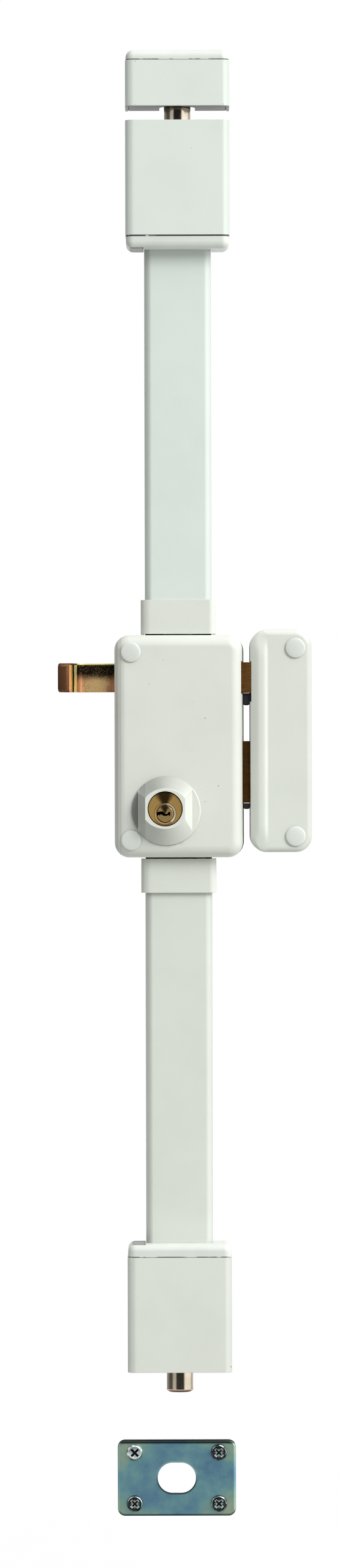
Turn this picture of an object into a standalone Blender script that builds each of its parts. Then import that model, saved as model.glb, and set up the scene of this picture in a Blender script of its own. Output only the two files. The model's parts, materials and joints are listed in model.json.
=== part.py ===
"""Three-point rim lock with a pull latch, its side keep, top keep and floor keep.

The door's face is the plane y = 0 and the lock stands out from it towards -Y. A depth is a distance from the
door's face. +X points to the side keep and +Z along the door's edge. All sizes are in metres.
"""

import math

import bmesh
import bpy
from mathutils import Matrix, Vector

# Fits
fit = 0.0003  # between pieces that seat on each other, and round every pin
slide_gap = 0.0006  # round a bolt or a bar in its opening
overcut = 0.002  # how far a cutter reaches past the wall that it cuts

# Main case
case_width = 0.086
case_height = 0.149
case_depth = 0.034
case_wall = 0.002
case_corner = 0.010
case_edge = 0.008
plate_thickness = 0.0025
plate_lip = 0.0009
plate_hole_radius = 0.0025
plate_hole_spacing = 0.062
cylinder_hole_margin = 0.0008

# Screws under domed caps, in the case and in the side keep
cap_radius = 0.0067
cap_height = 0.0018
cap_stem = 0.002
cap_inset = 0.011
cap_end_distance = 0.0115
boss_radius = 0.0066
counterbore_radius = 0.005
counterbore_depth = 0.006
screw_radius = 0.00225
screw_head_radius = 0.0045
screw_head_height = 0.0028

# Gear train: the plug turns twice for the bolts' whole travel
gear_module = 0.001
rack_module = 0.0015
pressure_angle = math.radians(25)
addendum_share = 0.8
dedendum_share = 1.05
backlash = 0.00016
plug_teeth = 12
wheel_teeth = 24
small_teeth = 10
drive_teeth = 30
pinion_teeth = 14
gear_thickness = 0.002
gear_step = 0.0004
pinion_x = 0.0
pinion_z = -0.014
reduction_bearing = math.radians(224.3)
plug_bearing = math.radians(-73.1)
arbor_radius = 0.003
reduction_arbor_radius = 0.002
arbor_collar_radius = 0.0045
pinion_hub_radius = 0.006
plug_turns = 2

# Cylinder and its collar
plug_eccentricity = 0.0033
cylinder_radius = 0.0115
cylinder_length = 0.030
cylinder_recess = 0.001
plug_radius = 0.0055
plug_tail_radius = 0.003
turned_chamfer = 0.0004
countersink_radius = 0.00715
countersink_depth = 0.0014
keyway_width = 0.009
keyway_height = 0.0031
keyway_depth = 0.020
collar_height = 0.012
collar_base_radius = 0.0231
collar_rim = 0.0016
collar_edge = 0.0006
collar_top_radius = 0.0156
collar_bore_gap = 0.00025
collar_base_shift_x = 0.0008
collar_base_shift_z = -0.0012
collar_flat = 0.0135
collar_end_flat = 0.0133
collar_flat_slope = 0.0025
collar_notch = 0.0178
collar_notch_foot = 0.0068
collar_notch_floor = 0.0022

# Depths of the layers inside the case, in front of the gears
rod_depth = 0.003
rod_thickness = 0.005
rack_thickness = 0.006
bolt_layer_gap = 0.0007

# Deadbolt
deadbolt_top = 0.0034
deadbolt_height = 0.0414
deadbolt_thickness = 0.012
deadbolt_projection = 0.0228
deadbolt_corner = 0.0012
deadbolt_tail_rise = 0.0026
deadbolt_tail_lead = 0.006
deadbolt_clearance = 0.001
rack_spare = 0.0035

# Latch bolt and its pull
latch_drop = 0.0285
latch_height = 0.0205
latch_back = 0.0155
latch_front = 0.0293
latch_travel = 0.016
latch_stay = 0.003
latch_length = 0.042
latch_bevel = 0.012
latch_nose = 0.004
latch_slot_length = 0.016
latch_pin_radius = 0.0025
pull_height = 0.0193
pull_depth = 0.018
pull_thickness = 0.005
pull_reach = 0.0378
pull_grip_width = 0.0078
pull_grip_lean = 0.005
pull_grip_height = 0.015
pull_grip_round = 0.0019
spring_radius = 0.0032
spring_wire = 0.0009
spring_turns = 8
spring_length = 0.032
spring_drop = 0.0055
spring_lug_width = 0.004
spring_lug_x = 0.010
post_radius = 0.003

# Rods, racks and round bolts
rod_width = 0.020
rod_corner = 0.003
rack_width = 0.006
rod_lap = 0.030
upper_rack_lap_z = 0.030
lower_rack_lap_z = -0.080
rack_lap_clearance = 0.0023
lap_pin_radius = 0.0025
bolt_radius = 0.009
bolt_axis_depth = 0.015
bolt_tip_round = 0.002
bolt_lap = 0.018
bolt_pin_radius = 0.002
upper_bolt_projection = 0.021
lower_bolt_projection = 0.0127
bolt_foot_clearance = 0.008

# Cover channels and the sleeves at the case
channel_width = 0.045
channel_depth = 0.020
channel_wall = 0.0018
profile_edge = 0.005
sleeve_wall = 0.0025
sleeve_height = 0.0228
sleeve_gap = 0.001
channel_insert = 0.021
guide_width = 0.026
guide_thickness = 0.0022
guide_height = 0.012
guide_z = 0.215

# Bolt cases and their end caps, mirrored above and below the main case
box_near = 0.3425
box_height = 0.077
box_width = 0.070
box_depth = 0.034
box_wall = 0.002
end_cap_height = 0.009
end_cap_step = 0.0004
end_cap_round = 0.0055
end_cap_spigot = 0.004
channel_opening_gap = 0.0004
bracket_thickness = 0.0027
bracket_base_width = 0.044
bracket_base_thickness = 0.0025

# Top keep
top_keep_gap = 0.0092
top_keep_height = 0.031
top_keep_cap_height = 0.0068
top_keep_side_gap = 0.0006
top_keep_plate = 0.0025
top_keep_leg = 0.026
top_keep_notch = 0.012

# Side keep
keep_gap = 0.0052
keep_width = 0.0412
keep_height = 0.1492
keep_rise = 0.0034
keep_depth = 0.0325
keep_wall = 0.0016
keep_corner = 0.011
keep_edge = 0.004
keep_ramp = ((0.0, 0.0036), (0.0006, 0.0025), (0.0018, 0.0019), (0.006, 0.0009), (0.012, 0.0))
keep_screw_drop = 0.0008
pad_gap_below_latch = 0.0003
latch_pad_height = 0.0083
deadbolt_pad_height = 0.0042
pad_round = 0.0014
pad_neck_share = 0.6
pad_length = 0.012
pad_foot = 0.005
pad_depth = 0.015

# Floor keep, which lies on the tips of its own screws
floor_keep_x = -0.00225
floor_keep_drop = 0.0593
floor_keep_width = 0.0795
floor_keep_height = 0.0513
floor_keep_thickness = 0.003
floor_keep_corner = 0.005
floor_keep_edge = 0.0018
floor_hole_width = 0.0256
floor_hole_height = 0.0205
floor_screw_spacing_x = 0.0566
floor_screw_spacing_z = 0.0343
floor_screw_length = 0.016
floor_screw_radius = 0.0021
floor_screw_head_radius = 0.0054
floor_screw_head_height = 0.0024
floor_screw_cross = 0.0064
floor_screw_cross_width = 0.0016
floor_screw_cross_depth = 0.0014

# Facets
round_steps = 24
pin_steps = 14
corner_steps = 4
edge_steps = 3
flank_steps = 2

# Sizes that follow from the ones above
case_right = case_width / 2
case_left = -case_width / 2
case_top = case_height / 2
latch_z = case_top - latch_drop
cover_back = plate_thickness + fit
pinion_pitch = rack_module * pinion_teeth / 2
pinion_tip = pinion_pitch + addendum_share * rack_module
wheel_back = plate_thickness + gear_step
wheel_front = wheel_back + gear_thickness
drive_back = wheel_front + gear_step
drive_front = drive_back + gear_thickness
rod_front = rod_depth + rod_thickness
rack_back = rod_front + fit
rack_front = rack_back + rack_thickness
deadbolt_back = rack_front + bolt_layer_gap
deadbolt_front = deadbolt_back + deadbolt_thickness
drive_ratio = drive_teeth / small_teeth * wheel_teeth / plug_teeth
bolt_travel = pinion_pitch * plug_turns * 2 * math.pi / drive_ratio
pinion_axis = Vector((pinion_x, 0, pinion_z))
reduction_reach = gear_module * (drive_teeth + small_teeth) / 2
plug_reach = gear_module * (wheel_teeth + plug_teeth) / 2
keep_left = case_right + keep_gap
keep_right = keep_left + keep_width
box_far = box_near + box_height
top_keep_bottom = box_far + top_keep_gap
floor_keep_z = -(box_far + lower_bolt_projection) - floor_keep_drop
pull_bar_end = -case_width / 2 - pull_reach


def direction(bearing):
    """Unit vector in the plane of the door, for an angle from +X towards +Z."""
    return Vector((math.cos(bearing), 0, math.sin(bearing)))


reduction_axis = pinion_axis + reduction_reach * direction(reduction_bearing)
plug_axis = reduction_axis + plug_reach * direction(plug_bearing)
cylinder_axis = plug_axis + Vector((0, 0, plug_eccentricity))
collar_base = cylinder_axis + Vector((collar_base_shift_x, 0, collar_base_shift_z))


def clear_scene():
    for old in list(bpy.data.objects):
        bpy.data.objects.remove(old)


def make_material(name, colour, roughness, metallic):
    material = bpy.data.materials.new(name)
    material.use_nodes = True
    shader = material.node_tree.nodes["Principled BSDF"]
    shader.inputs["Base Color"].default_value = (*colour, 1)
    shader.inputs["Roughness"].default_value = roughness
    shader.inputs["Metallic"].default_value = metallic
    return material


def link(name, mesh):
    piece = bpy.data.objects.new(name, mesh)
    bpy.context.scene.collection.objects.link(piece)
    return piece


def solid(name, shape, smooth_angle=35):
    """Object of a closed bmesh, with its faces turned outwards and its round parts shaded smooth."""
    bmesh.ops.remove_doubles(shape, verts=shape.verts, dist=1e-7)
    bmesh.ops.recalc_face_normals(shape, faces=shape.faces)
    mesh = bpy.data.meshes.new(name)
    shape.to_mesh(mesh)
    shape.free()
    mesh.shade_smooth()
    mesh.set_sharp_from_angle(angle=math.radians(smooth_angle))
    return link(name, mesh)


def skin(name, rings, closed=False):
    """Solid through rings of equally many points. Its two ends are filled, or joined to each other."""
    shape = bmesh.new()
    loops = [[shape.verts.new(point) for point in ring] for ring in rings]
    count = len(loops[0])
    pairs = list(zip(loops, loops[1:]))
    if closed:
        pairs.append((loops[-1], loops[0]))
    for low, high in pairs:
        for i in range(count):
            j = (i + 1) % count
            shape.faces.new((low[i], low[j], high[j], high[i]))
    if not closed:
        shape.faces.new(loops[0])
        shape.faces.new(loops[-1])
    return solid(name, shape)


def at_depth(outline, depth):
    """Points (x, z) placed at a depth."""
    return [(x, -depth, z) for x, z in outline]


def slab(name, outline, back, front):
    """An outline of points (x, z), from one depth to another."""
    return skin(name, [at_depth(outline, back), at_depth(outline, front)])


def post(name, outline, bottom, top):
    """An outline of points (x, depth), from one height to another."""
    return skin(name, [[(x, -depth, z) for x, depth in outline] for z in (bottom, top)])


def block(name, x_range, depth_range, z_range):
    (left, right), (low, high) = x_range, z_range
    return slab(name, [(left, low), (right, low), (right, high), (left, high)], *depth_range)


def circle(centre, radius, steps=round_steps):
    angles = [2 * math.pi * i / steps for i in range(steps)]
    return [(centre[0] + radius * math.cos(a), centre[1] + radius * math.sin(a)) for a in angles]


def turned(name, axis, profile, steps=round_steps, closed=False):
    """Turned piece on an axis along Y, from a profile of (radius, depth) or a ring's closed section."""
    rings = [at_depth(circle((axis.x, axis.z), radius, steps), depth) for radius, depth in profile]
    return skin(name, rings, closed)


def pin(name, axis, radius, back, front, steps=pin_steps):
    return turned(name, axis, [(radius, back), (radius, front)], steps)


def rounded(left, right, low, high, radii, steps=corner_steps):
    """Rectangle whose corners, from the lower left round to the upper left, have the given (x, z) radii."""
    corners = [(left, low, 1, 1), (right, low, -1, 1), (right, high, -1, -1), (left, high, 1, -1)]
    starts = [math.pi, 1.5 * math.pi, 0, 0.5 * math.pi]
    outline = []
    for (x, z, sx, sz), start, (rx, rz) in zip(corners, starts, radii):
        for i in range(steps + 1):
            a = start + 0.5 * math.pi * i / steps
            outline.append((x + sx * rx + rx * math.cos(a), z + sz * rz + rz * math.sin(a)))
    return outline


def rounded_plate(name, left, right, low, high, corner, back, front):
    return slab(name, rounded(left, right, low, high, [(corner, corner)] * 4), back, front)


def round_edge(radius):
    """Profile of a rounded edge from the wall to the face: (how far inwards, how far behind the face)."""
    angles = [0.5 * math.pi * i / edge_steps for i in range(edge_steps + 1)]
    return [(radius * (1 - math.cos(a)), radius * (1 - math.sin(a))) for a in angles]


def inset_at(profile, behind):
    """How far inwards an edge profile lies, this far behind the face."""
    for (first, low), (second, high) in zip(profile, profile[1:]):
        if low >= behind >= high:
            return first + (second - first) * (low - behind) / (low - high)
    return 0 if behind > profile[0][1] else profile[-1][0]


def cover_rings(left, right, low, high, corner, left_profile, edge, back, front):
    """Rings of a pressed cover's surface from its rim to its face, with its own edge profile on the left."""
    profile = round_edge(edge)
    stops = {0.0, front - back}
    for _, behind in left_profile + profile:
        if min(abs(behind - stop) for stop in stops) > 1e-5:
            stops.add(behind)
    rings = []
    for behind in sorted(stops, reverse=True):
        depth = front - behind
        side, other = inset_at(left_profile, behind), inset_at(profile, behind)
        least = 0.15 * min(corner, left_profile[-1][0])
        rx_left = max(corner - side, least)
        r_other = max(corner - other, least)
        radii = [(rx_left, r_other), (r_other, r_other), (r_other, r_other), (rx_left, r_other)]
        outline = rounded(left + side, right - other, low + other, high - other, radii)
        rings.append(at_depth(outline, depth))
    return rings


def cover(name, left, right, low, high, corner, profiles, edge, wall, back, front):
    """Pressed cover, open at the back: the outer surface, then the inner one a wall's thickness inside it."""
    outer = cover_rings(left, right, low, high, corner, profiles[0], edge, back, front)
    inner = cover_rings(
        left + wall, right - wall, low + wall, high - wall, corner - wall, profiles[1], edge - wall,
        back, front - wall,
    )
    return skin(name, outer[::-1] + inner)


def hide_tool(tool):
    tool.hide_render = True
    tool.display_type = "WIRE"
    return tool


def combine(piece, tool, operation):
    modifier = piece.modifiers.new(tool.name, "BOOLEAN")
    modifier.operation = operation
    modifier.object = hide_tool(tool)
    return piece


def cut(piece, *tools):
    for tool in tools:
        combine(piece, tool, "DIFFERENCE")
    return piece


def weld(piece, *tools):
    for tool in tools:
        combine(piece, tool, "UNION")
    return piece


def channel_section(width, depth, wall, edge, back=0.0):
    """Section (x, depth) of a folded U whose open side faces the door."""

    def arch(half, front, radius):
        points = [(half, back)]
        for i in range(corner_steps + 1):
            a = 0.5 * math.pi * i / corner_steps
            points.append((half - radius + radius * math.cos(a), front - radius + radius * math.sin(a)))
        return points + [(-x, d) for x, d in reversed(points)]

    outer = arch(width / 2, depth, edge)
    inner = arch(width / 2 - wall, depth - wall, edge - wall)
    return outer + inner[::-1]


def mirrored(side, values):
    """Heights above the case for side 1, or the same heights below it for side -1, lowest first."""
    return sorted(side * value for value in values)


def involute(angle):
    return math.tan(angle) - angle


def gear_outline(axis, teeth, module, phase):
    """Spur gear with stub involute teeth. One tooth points along the phase angle."""
    pitch = module * teeth / 2
    base = pitch * math.cos(pressure_angle)
    root = pitch - dedendum_share * module
    tip = pitch + addendum_share * module
    half_tooth = (math.pi * module / 2 - backlash) / 2 / pitch + involute(pressure_angle)
    lowest = max(base, root)
    flank = []
    for i in range(flank_steps + 1):
        radius = lowest + (tip - lowest) * i / flank_steps
        flank.append((radius, half_tooth - involute(math.acos(min(1, base / radius)))))
    if root < base:
        flank.insert(0, (root, flank[0][1]))
    outline = []
    for tooth in range(teeth):
        middle = phase + 2 * math.pi * tooth / teeth
        sides = [(r, middle - a) for r, a in flank] + [(r, middle + a) for r, a in reversed(flank)]
        outline += [(axis.x + r * math.cos(a), axis.z + r * math.sin(a)) for r, a in sides]
    return outline


def nearest_offset(teeth, phase, bearing, share):
    """Angle from a bearing to the nearest tooth (share 0) or gap (share 0.5) of a gear."""
    step = 2 * math.pi / teeth
    turned_by = (phase + share * step - bearing) / step
    return (turned_by - round(turned_by)) * step


def meshing_phase(bearing, teeth_a, phase_a, teeth_b):
    """Phase of gear b, which lies along the bearing from gear a, so that its gap takes the tooth of a."""
    offset = nearest_offset(teeth_a, phase_a, bearing, 0)
    return bearing + math.pi - offset * teeth_a / teeth_b + math.pi / teeth_b


def rack_edge(bearing, start, end):
    """Toothed edge (x, z) of a rack that meshes with the pinion on this bearing, along its tangent there."""
    away = direction(bearing)
    along = direction(bearing + math.pi / 2)
    pitch = math.pi * rack_module
    first = pinion_pitch * nearest_offset(pinion_teeth, pinion_phase, bearing, 0.5)
    slope = math.tan(pressure_angle)
    half = pitch / 4 - backlash / 2
    root, tip = dedendum_share * rack_module, addendum_share * rack_module
    half_root, half_tip = half + root * slope, half - tip * slope
    tooth = math.ceil((start + half_root - first) / pitch)
    places = [(start, root)]
    while first + tooth * pitch + half_root <= end:
        middle = first + tooth * pitch
        places += [(middle - half_root, root), (middle - half_tip, -tip)]
        places += [(middle + half_tip, -tip), (middle + half_root, root)]
        tooth += 1
    places.append((end, root))
    points = [pinion_axis + along * s + away * (pinion_pitch + n) for s, n in places]
    return [(point.x, point.z) for point in points]


def assign(pieces, material):
    for piece in pieces:
        piece.data.materials.clear()
        piece.data.materials.append(material)


def carriage(name, place, pieces):
    """Empty on a joint's axis that carries the pieces of one moving body."""
    holder = bpy.data.objects.new(name, None)
    holder.location = place
    bpy.context.scene.collection.objects.link(holder)
    for piece in pieces:
        piece.parent = holder
        piece.matrix_parent_inverse = Matrix.Translation(-Vector(place))
    return holder


def screw_places(right, middle_z, height):
    """Axes of the upper and lower cap screw, inset from a vertical edge and from both ends."""
    rise = height / 2 - cap_end_distance
    return [Vector((right, 0, middle_z + rise)), Vector((right, 0, middle_z - rise))]


def drill_boss(piece, label, axis, wall, front):
    """Screw pillar inside a cover, with a counterbore for the screw's head."""
    weld(piece, pin(f"{label}_boss", axis, boss_radius, cover_back, front - wall / 2))
    cut(
        piece,
        pin(f"{label}_bore", axis, screw_radius + fit, cover_back - overcut, front + overcut),
        pin(f"{label}_counterbore", axis, counterbore_radius, front - counterbore_depth, front + overcut),
    )


def cap_and_screw(label, axis, front):
    """Domed cap that plugs the counterbore, and the screw below it."""
    dome = [(cap_radius, front + fit), (cap_radius, front + 0.4 * cap_height)]
    dome += [(0.93 * cap_radius, front + 0.75 * cap_height), (0.7 * cap_radius, front + 0.95 * cap_height)]
    dome += [(0.35 * cap_radius, front + cap_height)]
    stem = counterbore_radius - fit
    cap = turned(f"{label}_cap", axis, [(stem, front - cap_stem), (stem, front + fit)] + dome)
    head_back = front - counterbore_depth + fit
    head_front = head_back + screw_head_height
    profile = [(screw_radius, fit), (screw_radius, head_back), (screw_head_radius, head_back)]
    profile += [(screw_head_radius, head_front - 0.3 * screw_head_height)]
    profile += [(0.7 * screw_head_radius, head_front)]
    return cap, turned(f"{label}_screw", axis, profile, pin_steps)


def drill(name, axis, radius, back, front, steps=pin_steps):
    """Cutter for one round hole between two depths."""
    return pin(name, axis, radius, back - overcut, front + overcut, steps)


def drills(name, holes, back, front):
    """One cutter for several round holes, each given as its axis and its radius."""
    shape = bmesh.new()
    for axis, radius in holes:
        ends = []
        for depth in (back - overcut, front + overcut):
            ring = at_depth(circle((axis.x, axis.z), radius, pin_steps), depth)
            ends.append([shape.verts.new(point) for point in ring])
            shape.faces.new(ends[-1])
        for i in range(pin_steps):
            j = (i + 1) % pin_steps
            shape.faces.new((ends[0][i], ends[0][j], ends[1][j], ends[1][i]))
    return solid(name, shape)


def make_case():
    box = (case_left, case_right, -case_top, case_top)
    profiles = (round_edge(case_edge), round_edge(case_edge - case_wall))
    case_cover = cover(
        "case_cover", *box, case_corner, profiles, case_edge, case_wall, cover_back, case_depth
    )
    screws = screw_places(case_left + cap_inset, 0, case_height)
    for label, axis in zip(("upper_case", "lower_case"), screws):
        drill_boss(case_cover, label, axis, case_wall, case_depth)
    side = case_wall + overcut
    latch_range = (latch_z - latch_height / 2 - slide_gap, latch_z + latch_height / 2 + slide_gap)
    deadbolt_range = (deadbolt_top - deadbolt_height - slide_gap, deadbolt_top + slide_gap)
    pull_range = (latch_z - pull_height / 2 - slide_gap, latch_z + pull_height / 2 + slide_gap)
    right_wall = (case_right - side, case_right + overcut)
    rack_reach = pinion_pitch + dedendum_share * rack_module + rack_width + slide_gap
    rod_slot = (pinion_x - rack_reach, pinion_x + rack_reach)
    rod_slot_depth = (cover_back - overcut, rack_front + slide_gap)
    cut(
        case_cover,
        pin(
            "cylinder_opening", cylinder_axis, cylinder_radius + cylinder_hole_margin,
            case_depth - case_wall - overcut, case_depth + overcut, round_steps,
        ),
        block("latch_opening", right_wall, (latch_back - slide_gap, latch_front + slide_gap), latch_range),
        block(
            "deadbolt_opening", right_wall,
            (deadbolt_back - slide_gap, deadbolt_front + slide_gap), deadbolt_range,
        ),
        block(
            "pull_opening", (case_left - overcut, case_left + side),
            (pull_depth - slide_gap, pull_depth + pull_thickness + slide_gap), pull_range,
        ),
        block("upper_rod_slot", rod_slot, rod_slot_depth, (case_top - side, case_top + overcut)),
        block("lower_rod_slot", rod_slot, rod_slot_depth, (-case_top - overcut, side - case_top)),
    )
    back_plate = rounded_plate(
        "case_back_plate", case_left + fit, case_right + plate_lip, fit - case_top, case_top - fit,
        case_corner, 0, plate_thickness,
    )
    holes = [
        (pinion_axis, arbor_radius + fit), (reduction_axis, reduction_arbor_radius + fit),
        (plug_axis, plug_radius), (spring_axis(), post_radius + fit),
    ]
    holes += [(axis, screw_radius + fit) for axis in screws]
    for sx, sz in ((-1, 1), (1, 1), (1, -1), (-1, -1)):
        place = Vector((sx * (case_right - cap_inset), 0, sz * plate_hole_spacing / 2))
        holes.append((place, plate_hole_radius))
    cut(back_plate, drills("case_plate_holes", holes, 0, plate_thickness))
    caps_and_screws = [
        cap_and_screw(label, axis, case_depth) for label, axis in zip(("upper_case", "lower_case"), screws)
    ]
    assign([case_cover], white_paint)
    assign([back_plate], dark_steel)
    assign([cap for cap, _ in caps_and_screws], white_plastic)
    assign([screw for _, screw in caps_and_screws], zinc)


def collar_tools():
    """Cutters for the collar's four flats. Left and right flats stand above a notch in the rim."""
    face = case_depth + collar_height
    slope = collar_flat_slope / collar_notch_foot
    rise = overcut / 2
    reach = collar_base_radius + overcut
    foot = collar_flat + collar_flat_slope
    section = [
        (collar_flat - slope * rise, face + rise),
        (foot, face - collar_notch_foot),
        (collar_notch, case_depth + collar_notch_floor),
        (reach, case_depth + collar_notch_floor),
        (reach, face + rise),
    ]
    tools = []
    for label, side in (("left", -1), ("right", 1)):
        outline = [(cylinder_axis.x + side * x, depth) for x, depth in section]
        tools.append(post(f"collar_{label}_flat", outline, cylinder_axis.z - reach, cylinder_axis.z + reach))
    for label, side in (("upper", 1), ("lower", -1)):
        ends = [(collar_end_flat - rise, face + rise), (reach, face + rise)]
        ends.append((reach, face + collar_end_flat - reach))
        rings = [
            [(cylinder_axis.x + x, -depth, cylinder_axis.z + side * z) for z, depth in ends]
            for x in (-reach, reach)
        ]
        tools.append(skin(f"collar_{label}_flat", rings))
    return tools


def make_cylinder():
    base, face = case_depth + fit, case_depth + collar_height
    bore = cylinder_radius + collar_bore_gap
    stations = [(0, collar_base_radius, base), (0, collar_base_radius, case_depth + collar_rim)]
    stations += [(0.08, collar_base_radius - collar_edge, case_depth + 1.4 * collar_rim)]
    stations += [(0.95, collar_top_radius + collar_edge, face - collar_edge), (1, collar_top_radius, face)]
    rings = []
    for share, radius, depth in stations:
        centre = collar_base.lerp(cylinder_axis, share)
        rings.append(at_depth(circle((centre.x, centre.z), radius), depth))
    hole = circle((cylinder_axis.x, cylinder_axis.z), bore)
    rings += [at_depth(hole, face), at_depth(hole, base)]
    collar = cut(skin("cylinder_collar", rings, closed=True), *collar_tools())
    front = face - cylinder_recess
    back = front - cylinder_length
    body = turned(
        "cylinder_body", cylinder_axis,
        [(cylinder_radius, back), (cylinder_radius, front - turned_chamfer),
         (cylinder_radius - turned_chamfer, front)],
    )
    bore_radius = plug_radius + fit
    sink = turned(
        "plug_countersink", plug_axis,
        [(bore_radius - overcut, front - countersink_depth - overcut),
         (bore_radius, front - countersink_depth), (countersink_radius, front),
         (countersink_radius + overcut, front + overcut)],
    )
    cut(body, pin("plug_bore", plug_axis, bore_radius, back - overcut, front + overcut, round_steps), sink)
    plug_front = front - fit
    shoulder = back + fit
    plug = turned(
        "cylinder_plug", plug_axis,
        [(plug_tail_radius, wheel_back), (plug_tail_radius, shoulder), (plug_radius, shoulder),
         (plug_radius, plug_front - turned_chamfer), (plug_radius - turned_chamfer, plug_front)],
    )
    cut(plug, slab("keyway", keyway_outline(), plug_front - keyway_depth, plug_front + overcut))
    assign([collar], white_paint)
    assign([body, plug], brass)
    return plug


def keyway_outline():
    """Flat keyway with two wards that reach in from above and one from below."""
    half, high = keyway_width / 2, keyway_height / 2
    upper = [(-1, 1), (-0.7, 0.6), (-0.4, 0.8), (0, 0.8), (0.1, 0.1), (0.45, 0.1), (0.55, 0.35), (1, 1)]
    lower = [(1, -1), (0.6, -0.6), (0.2, -0.8), (0, -0.8)]
    lower += [(-0.1, -0.3), (-0.45, -0.3), (-0.55, -0.6), (-1, -1)]
    return [(plug_axis.x + half * x, plug_axis.z + high * z) for x, z in upper + lower]


def make_gears():
    """The four gears of the train, with the arbors that carry them."""
    drive_teeth_outline = gear_outline(pinion_axis, drive_teeth, gear_module, drive_phase)
    drive = slab("drive_gear", drive_teeth_outline, drive_back, drive_front)
    drive_bore = pinion_hub_radius + fit
    cut(drive, drill("drive_bore", pinion_axis, drive_bore, drive_back, drive_front, round_steps))
    pinion_back = drive_front + fit
    pinion = slab(
        "central_pinion", gear_outline(pinion_axis, pinion_teeth, rack_module, pinion_phase),
        pinion_back, deadbolt_front,
    )
    hub_front = pinion_back + gear_step
    weld(pinion, pin("pinion_hub", pinion_axis, pinion_hub_radius, drive_back, hub_front, round_steps))
    cut(pinion, drill("pinion_bore", pinion_axis, arbor_radius + fit, drive_back, deadbolt_front))
    wheel = slab(
        "reduction_gear", gear_outline(reduction_axis, wheel_teeth, gear_module, wheel_phase),
        wheel_back, wheel_front,
    )
    small = slab(
        "reduction_small_gear", gear_outline(reduction_axis, small_teeth, gear_module, small_phase),
        wheel_back + gear_thickness / 2, drive_front,
    )
    weld(wheel, small)
    cut(wheel, drill("reduction_bore", reduction_axis, reduction_arbor_radius + fit, wheel_back, drive_front))
    plug_teeth_outline = gear_outline(plug_axis, plug_teeth, gear_module, plug_phase)
    plug_gear = slab("plug_gear", plug_teeth_outline, wheel_back, wheel_front)
    cut(plug_gear, drill("plug_gear_bore", plug_axis, plug_tail_radius + fit, wheel_back, wheel_front))
    collar_back = plate_thickness + fit
    arbor = turned(
        "pinion_arbor", pinion_axis,
        [(arbor_radius, fit), (arbor_radius, collar_back), (arbor_collar_radius, collar_back),
         (arbor_collar_radius, drive_back - fit), (arbor_radius, drive_back - fit),
         (arbor_radius, deadbolt_front + 2 * gear_step)],
        pin_steps,
    )
    reduction_arbor = pin("reduction_arbor", reduction_axis, reduction_arbor_radius, fit, rack_back - fit)
    assign([drive, pinion, wheel], steel)
    assign([plug_gear], brass)
    assign([arbor, reduction_arbor], steel)
    return drive, pinion, wheel, plug_gear


def make_deadbolt():
    """Flat bolt whose tail runs over the pinion and meshes with its top."""
    head_left = pinion_x + pinion_tip + bolt_travel + deadbolt_clearance
    right = case_right + deadbolt_projection
    low = deadbolt_top - deadbolt_height
    tail_top = deadbolt_top + deadbolt_tail_rise
    edge = rack_edge(math.pi / 2, -(bolt_travel + rack_spare + pinion_x), deadbolt_tail_lead)
    outline = [(right - deadbolt_corner, low), (right, low + deadbolt_corner)]
    outline += [(right, deadbolt_top - deadbolt_corner), (right - deadbolt_corner, deadbolt_top)]
    outline += [(head_left, deadbolt_top), (head_left, tail_top), (edge[-1][0], tail_top)]
    outline += edge[::-1] + [(head_left, edge[0][1]), (head_left, low)]
    deadbolt = slab("deadbolt", outline, deadbolt_back, deadbolt_front)
    assign([deadbolt], bichromate)
    return deadbolt


def spring_axis():
    """Where the post stands that the latch spring pushes against."""
    left = spring_lug_x - spring_length - post_radius
    return Vector((left, 0, latch_z - pull_height / 2 - spring_drop))


def make_latch():
    middle = pull_depth + pull_thickness / 2
    nose = case_right + latch_travel + latch_stay
    tail = nose - latch_length
    section = [(tail, latch_back), (nose - latch_bevel, latch_back), (nose, latch_front - latch_nose)]
    section += [(nose, latch_front), (tail, latch_front)]
    low, high = latch_z - latch_height / 2, latch_z + latch_height / 2
    latch = post("latch_bolt", section, low, high)
    slot_end = tail + latch_slot_length
    pin_axis = Vector((tail + latch_slot_length / 2, 0, latch_z))
    hole = latch_pin_radius + fit
    cut(
        latch,
        block(
            "latch_slot", (tail - overcut, slot_end),
            (pull_depth - fit, pull_depth + pull_thickness + fit), (low - overcut, high + overcut),
        ),
        drill("latch_pin_hole", pin_axis, hole, latch_back, latch_front),
    )
    latch_pin = pin("latch_pin", pin_axis, latch_pin_radius, latch_back + fit, latch_front - fit)
    pull = make_pull(slot_end - fit)
    cut(pull, drill("pull_pin_hole", pin_axis, hole, pull_depth, pull_depth + pull_thickness))
    post_axis = spring_axis()
    spring_post = pin("spring_post", post_axis, post_radius, fit, middle + spring_radius)
    spring = make_spring(
        Vector((post_axis.x + post_radius + fit, -middle, post_axis.z)),
        Vector((spring_lug_x - fit, -middle, post_axis.z)),
    )
    assign([latch, pull, latch_pin], bichromate)
    assign([spring, spring_post], steel)
    return latch, pull, latch_pin


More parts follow.
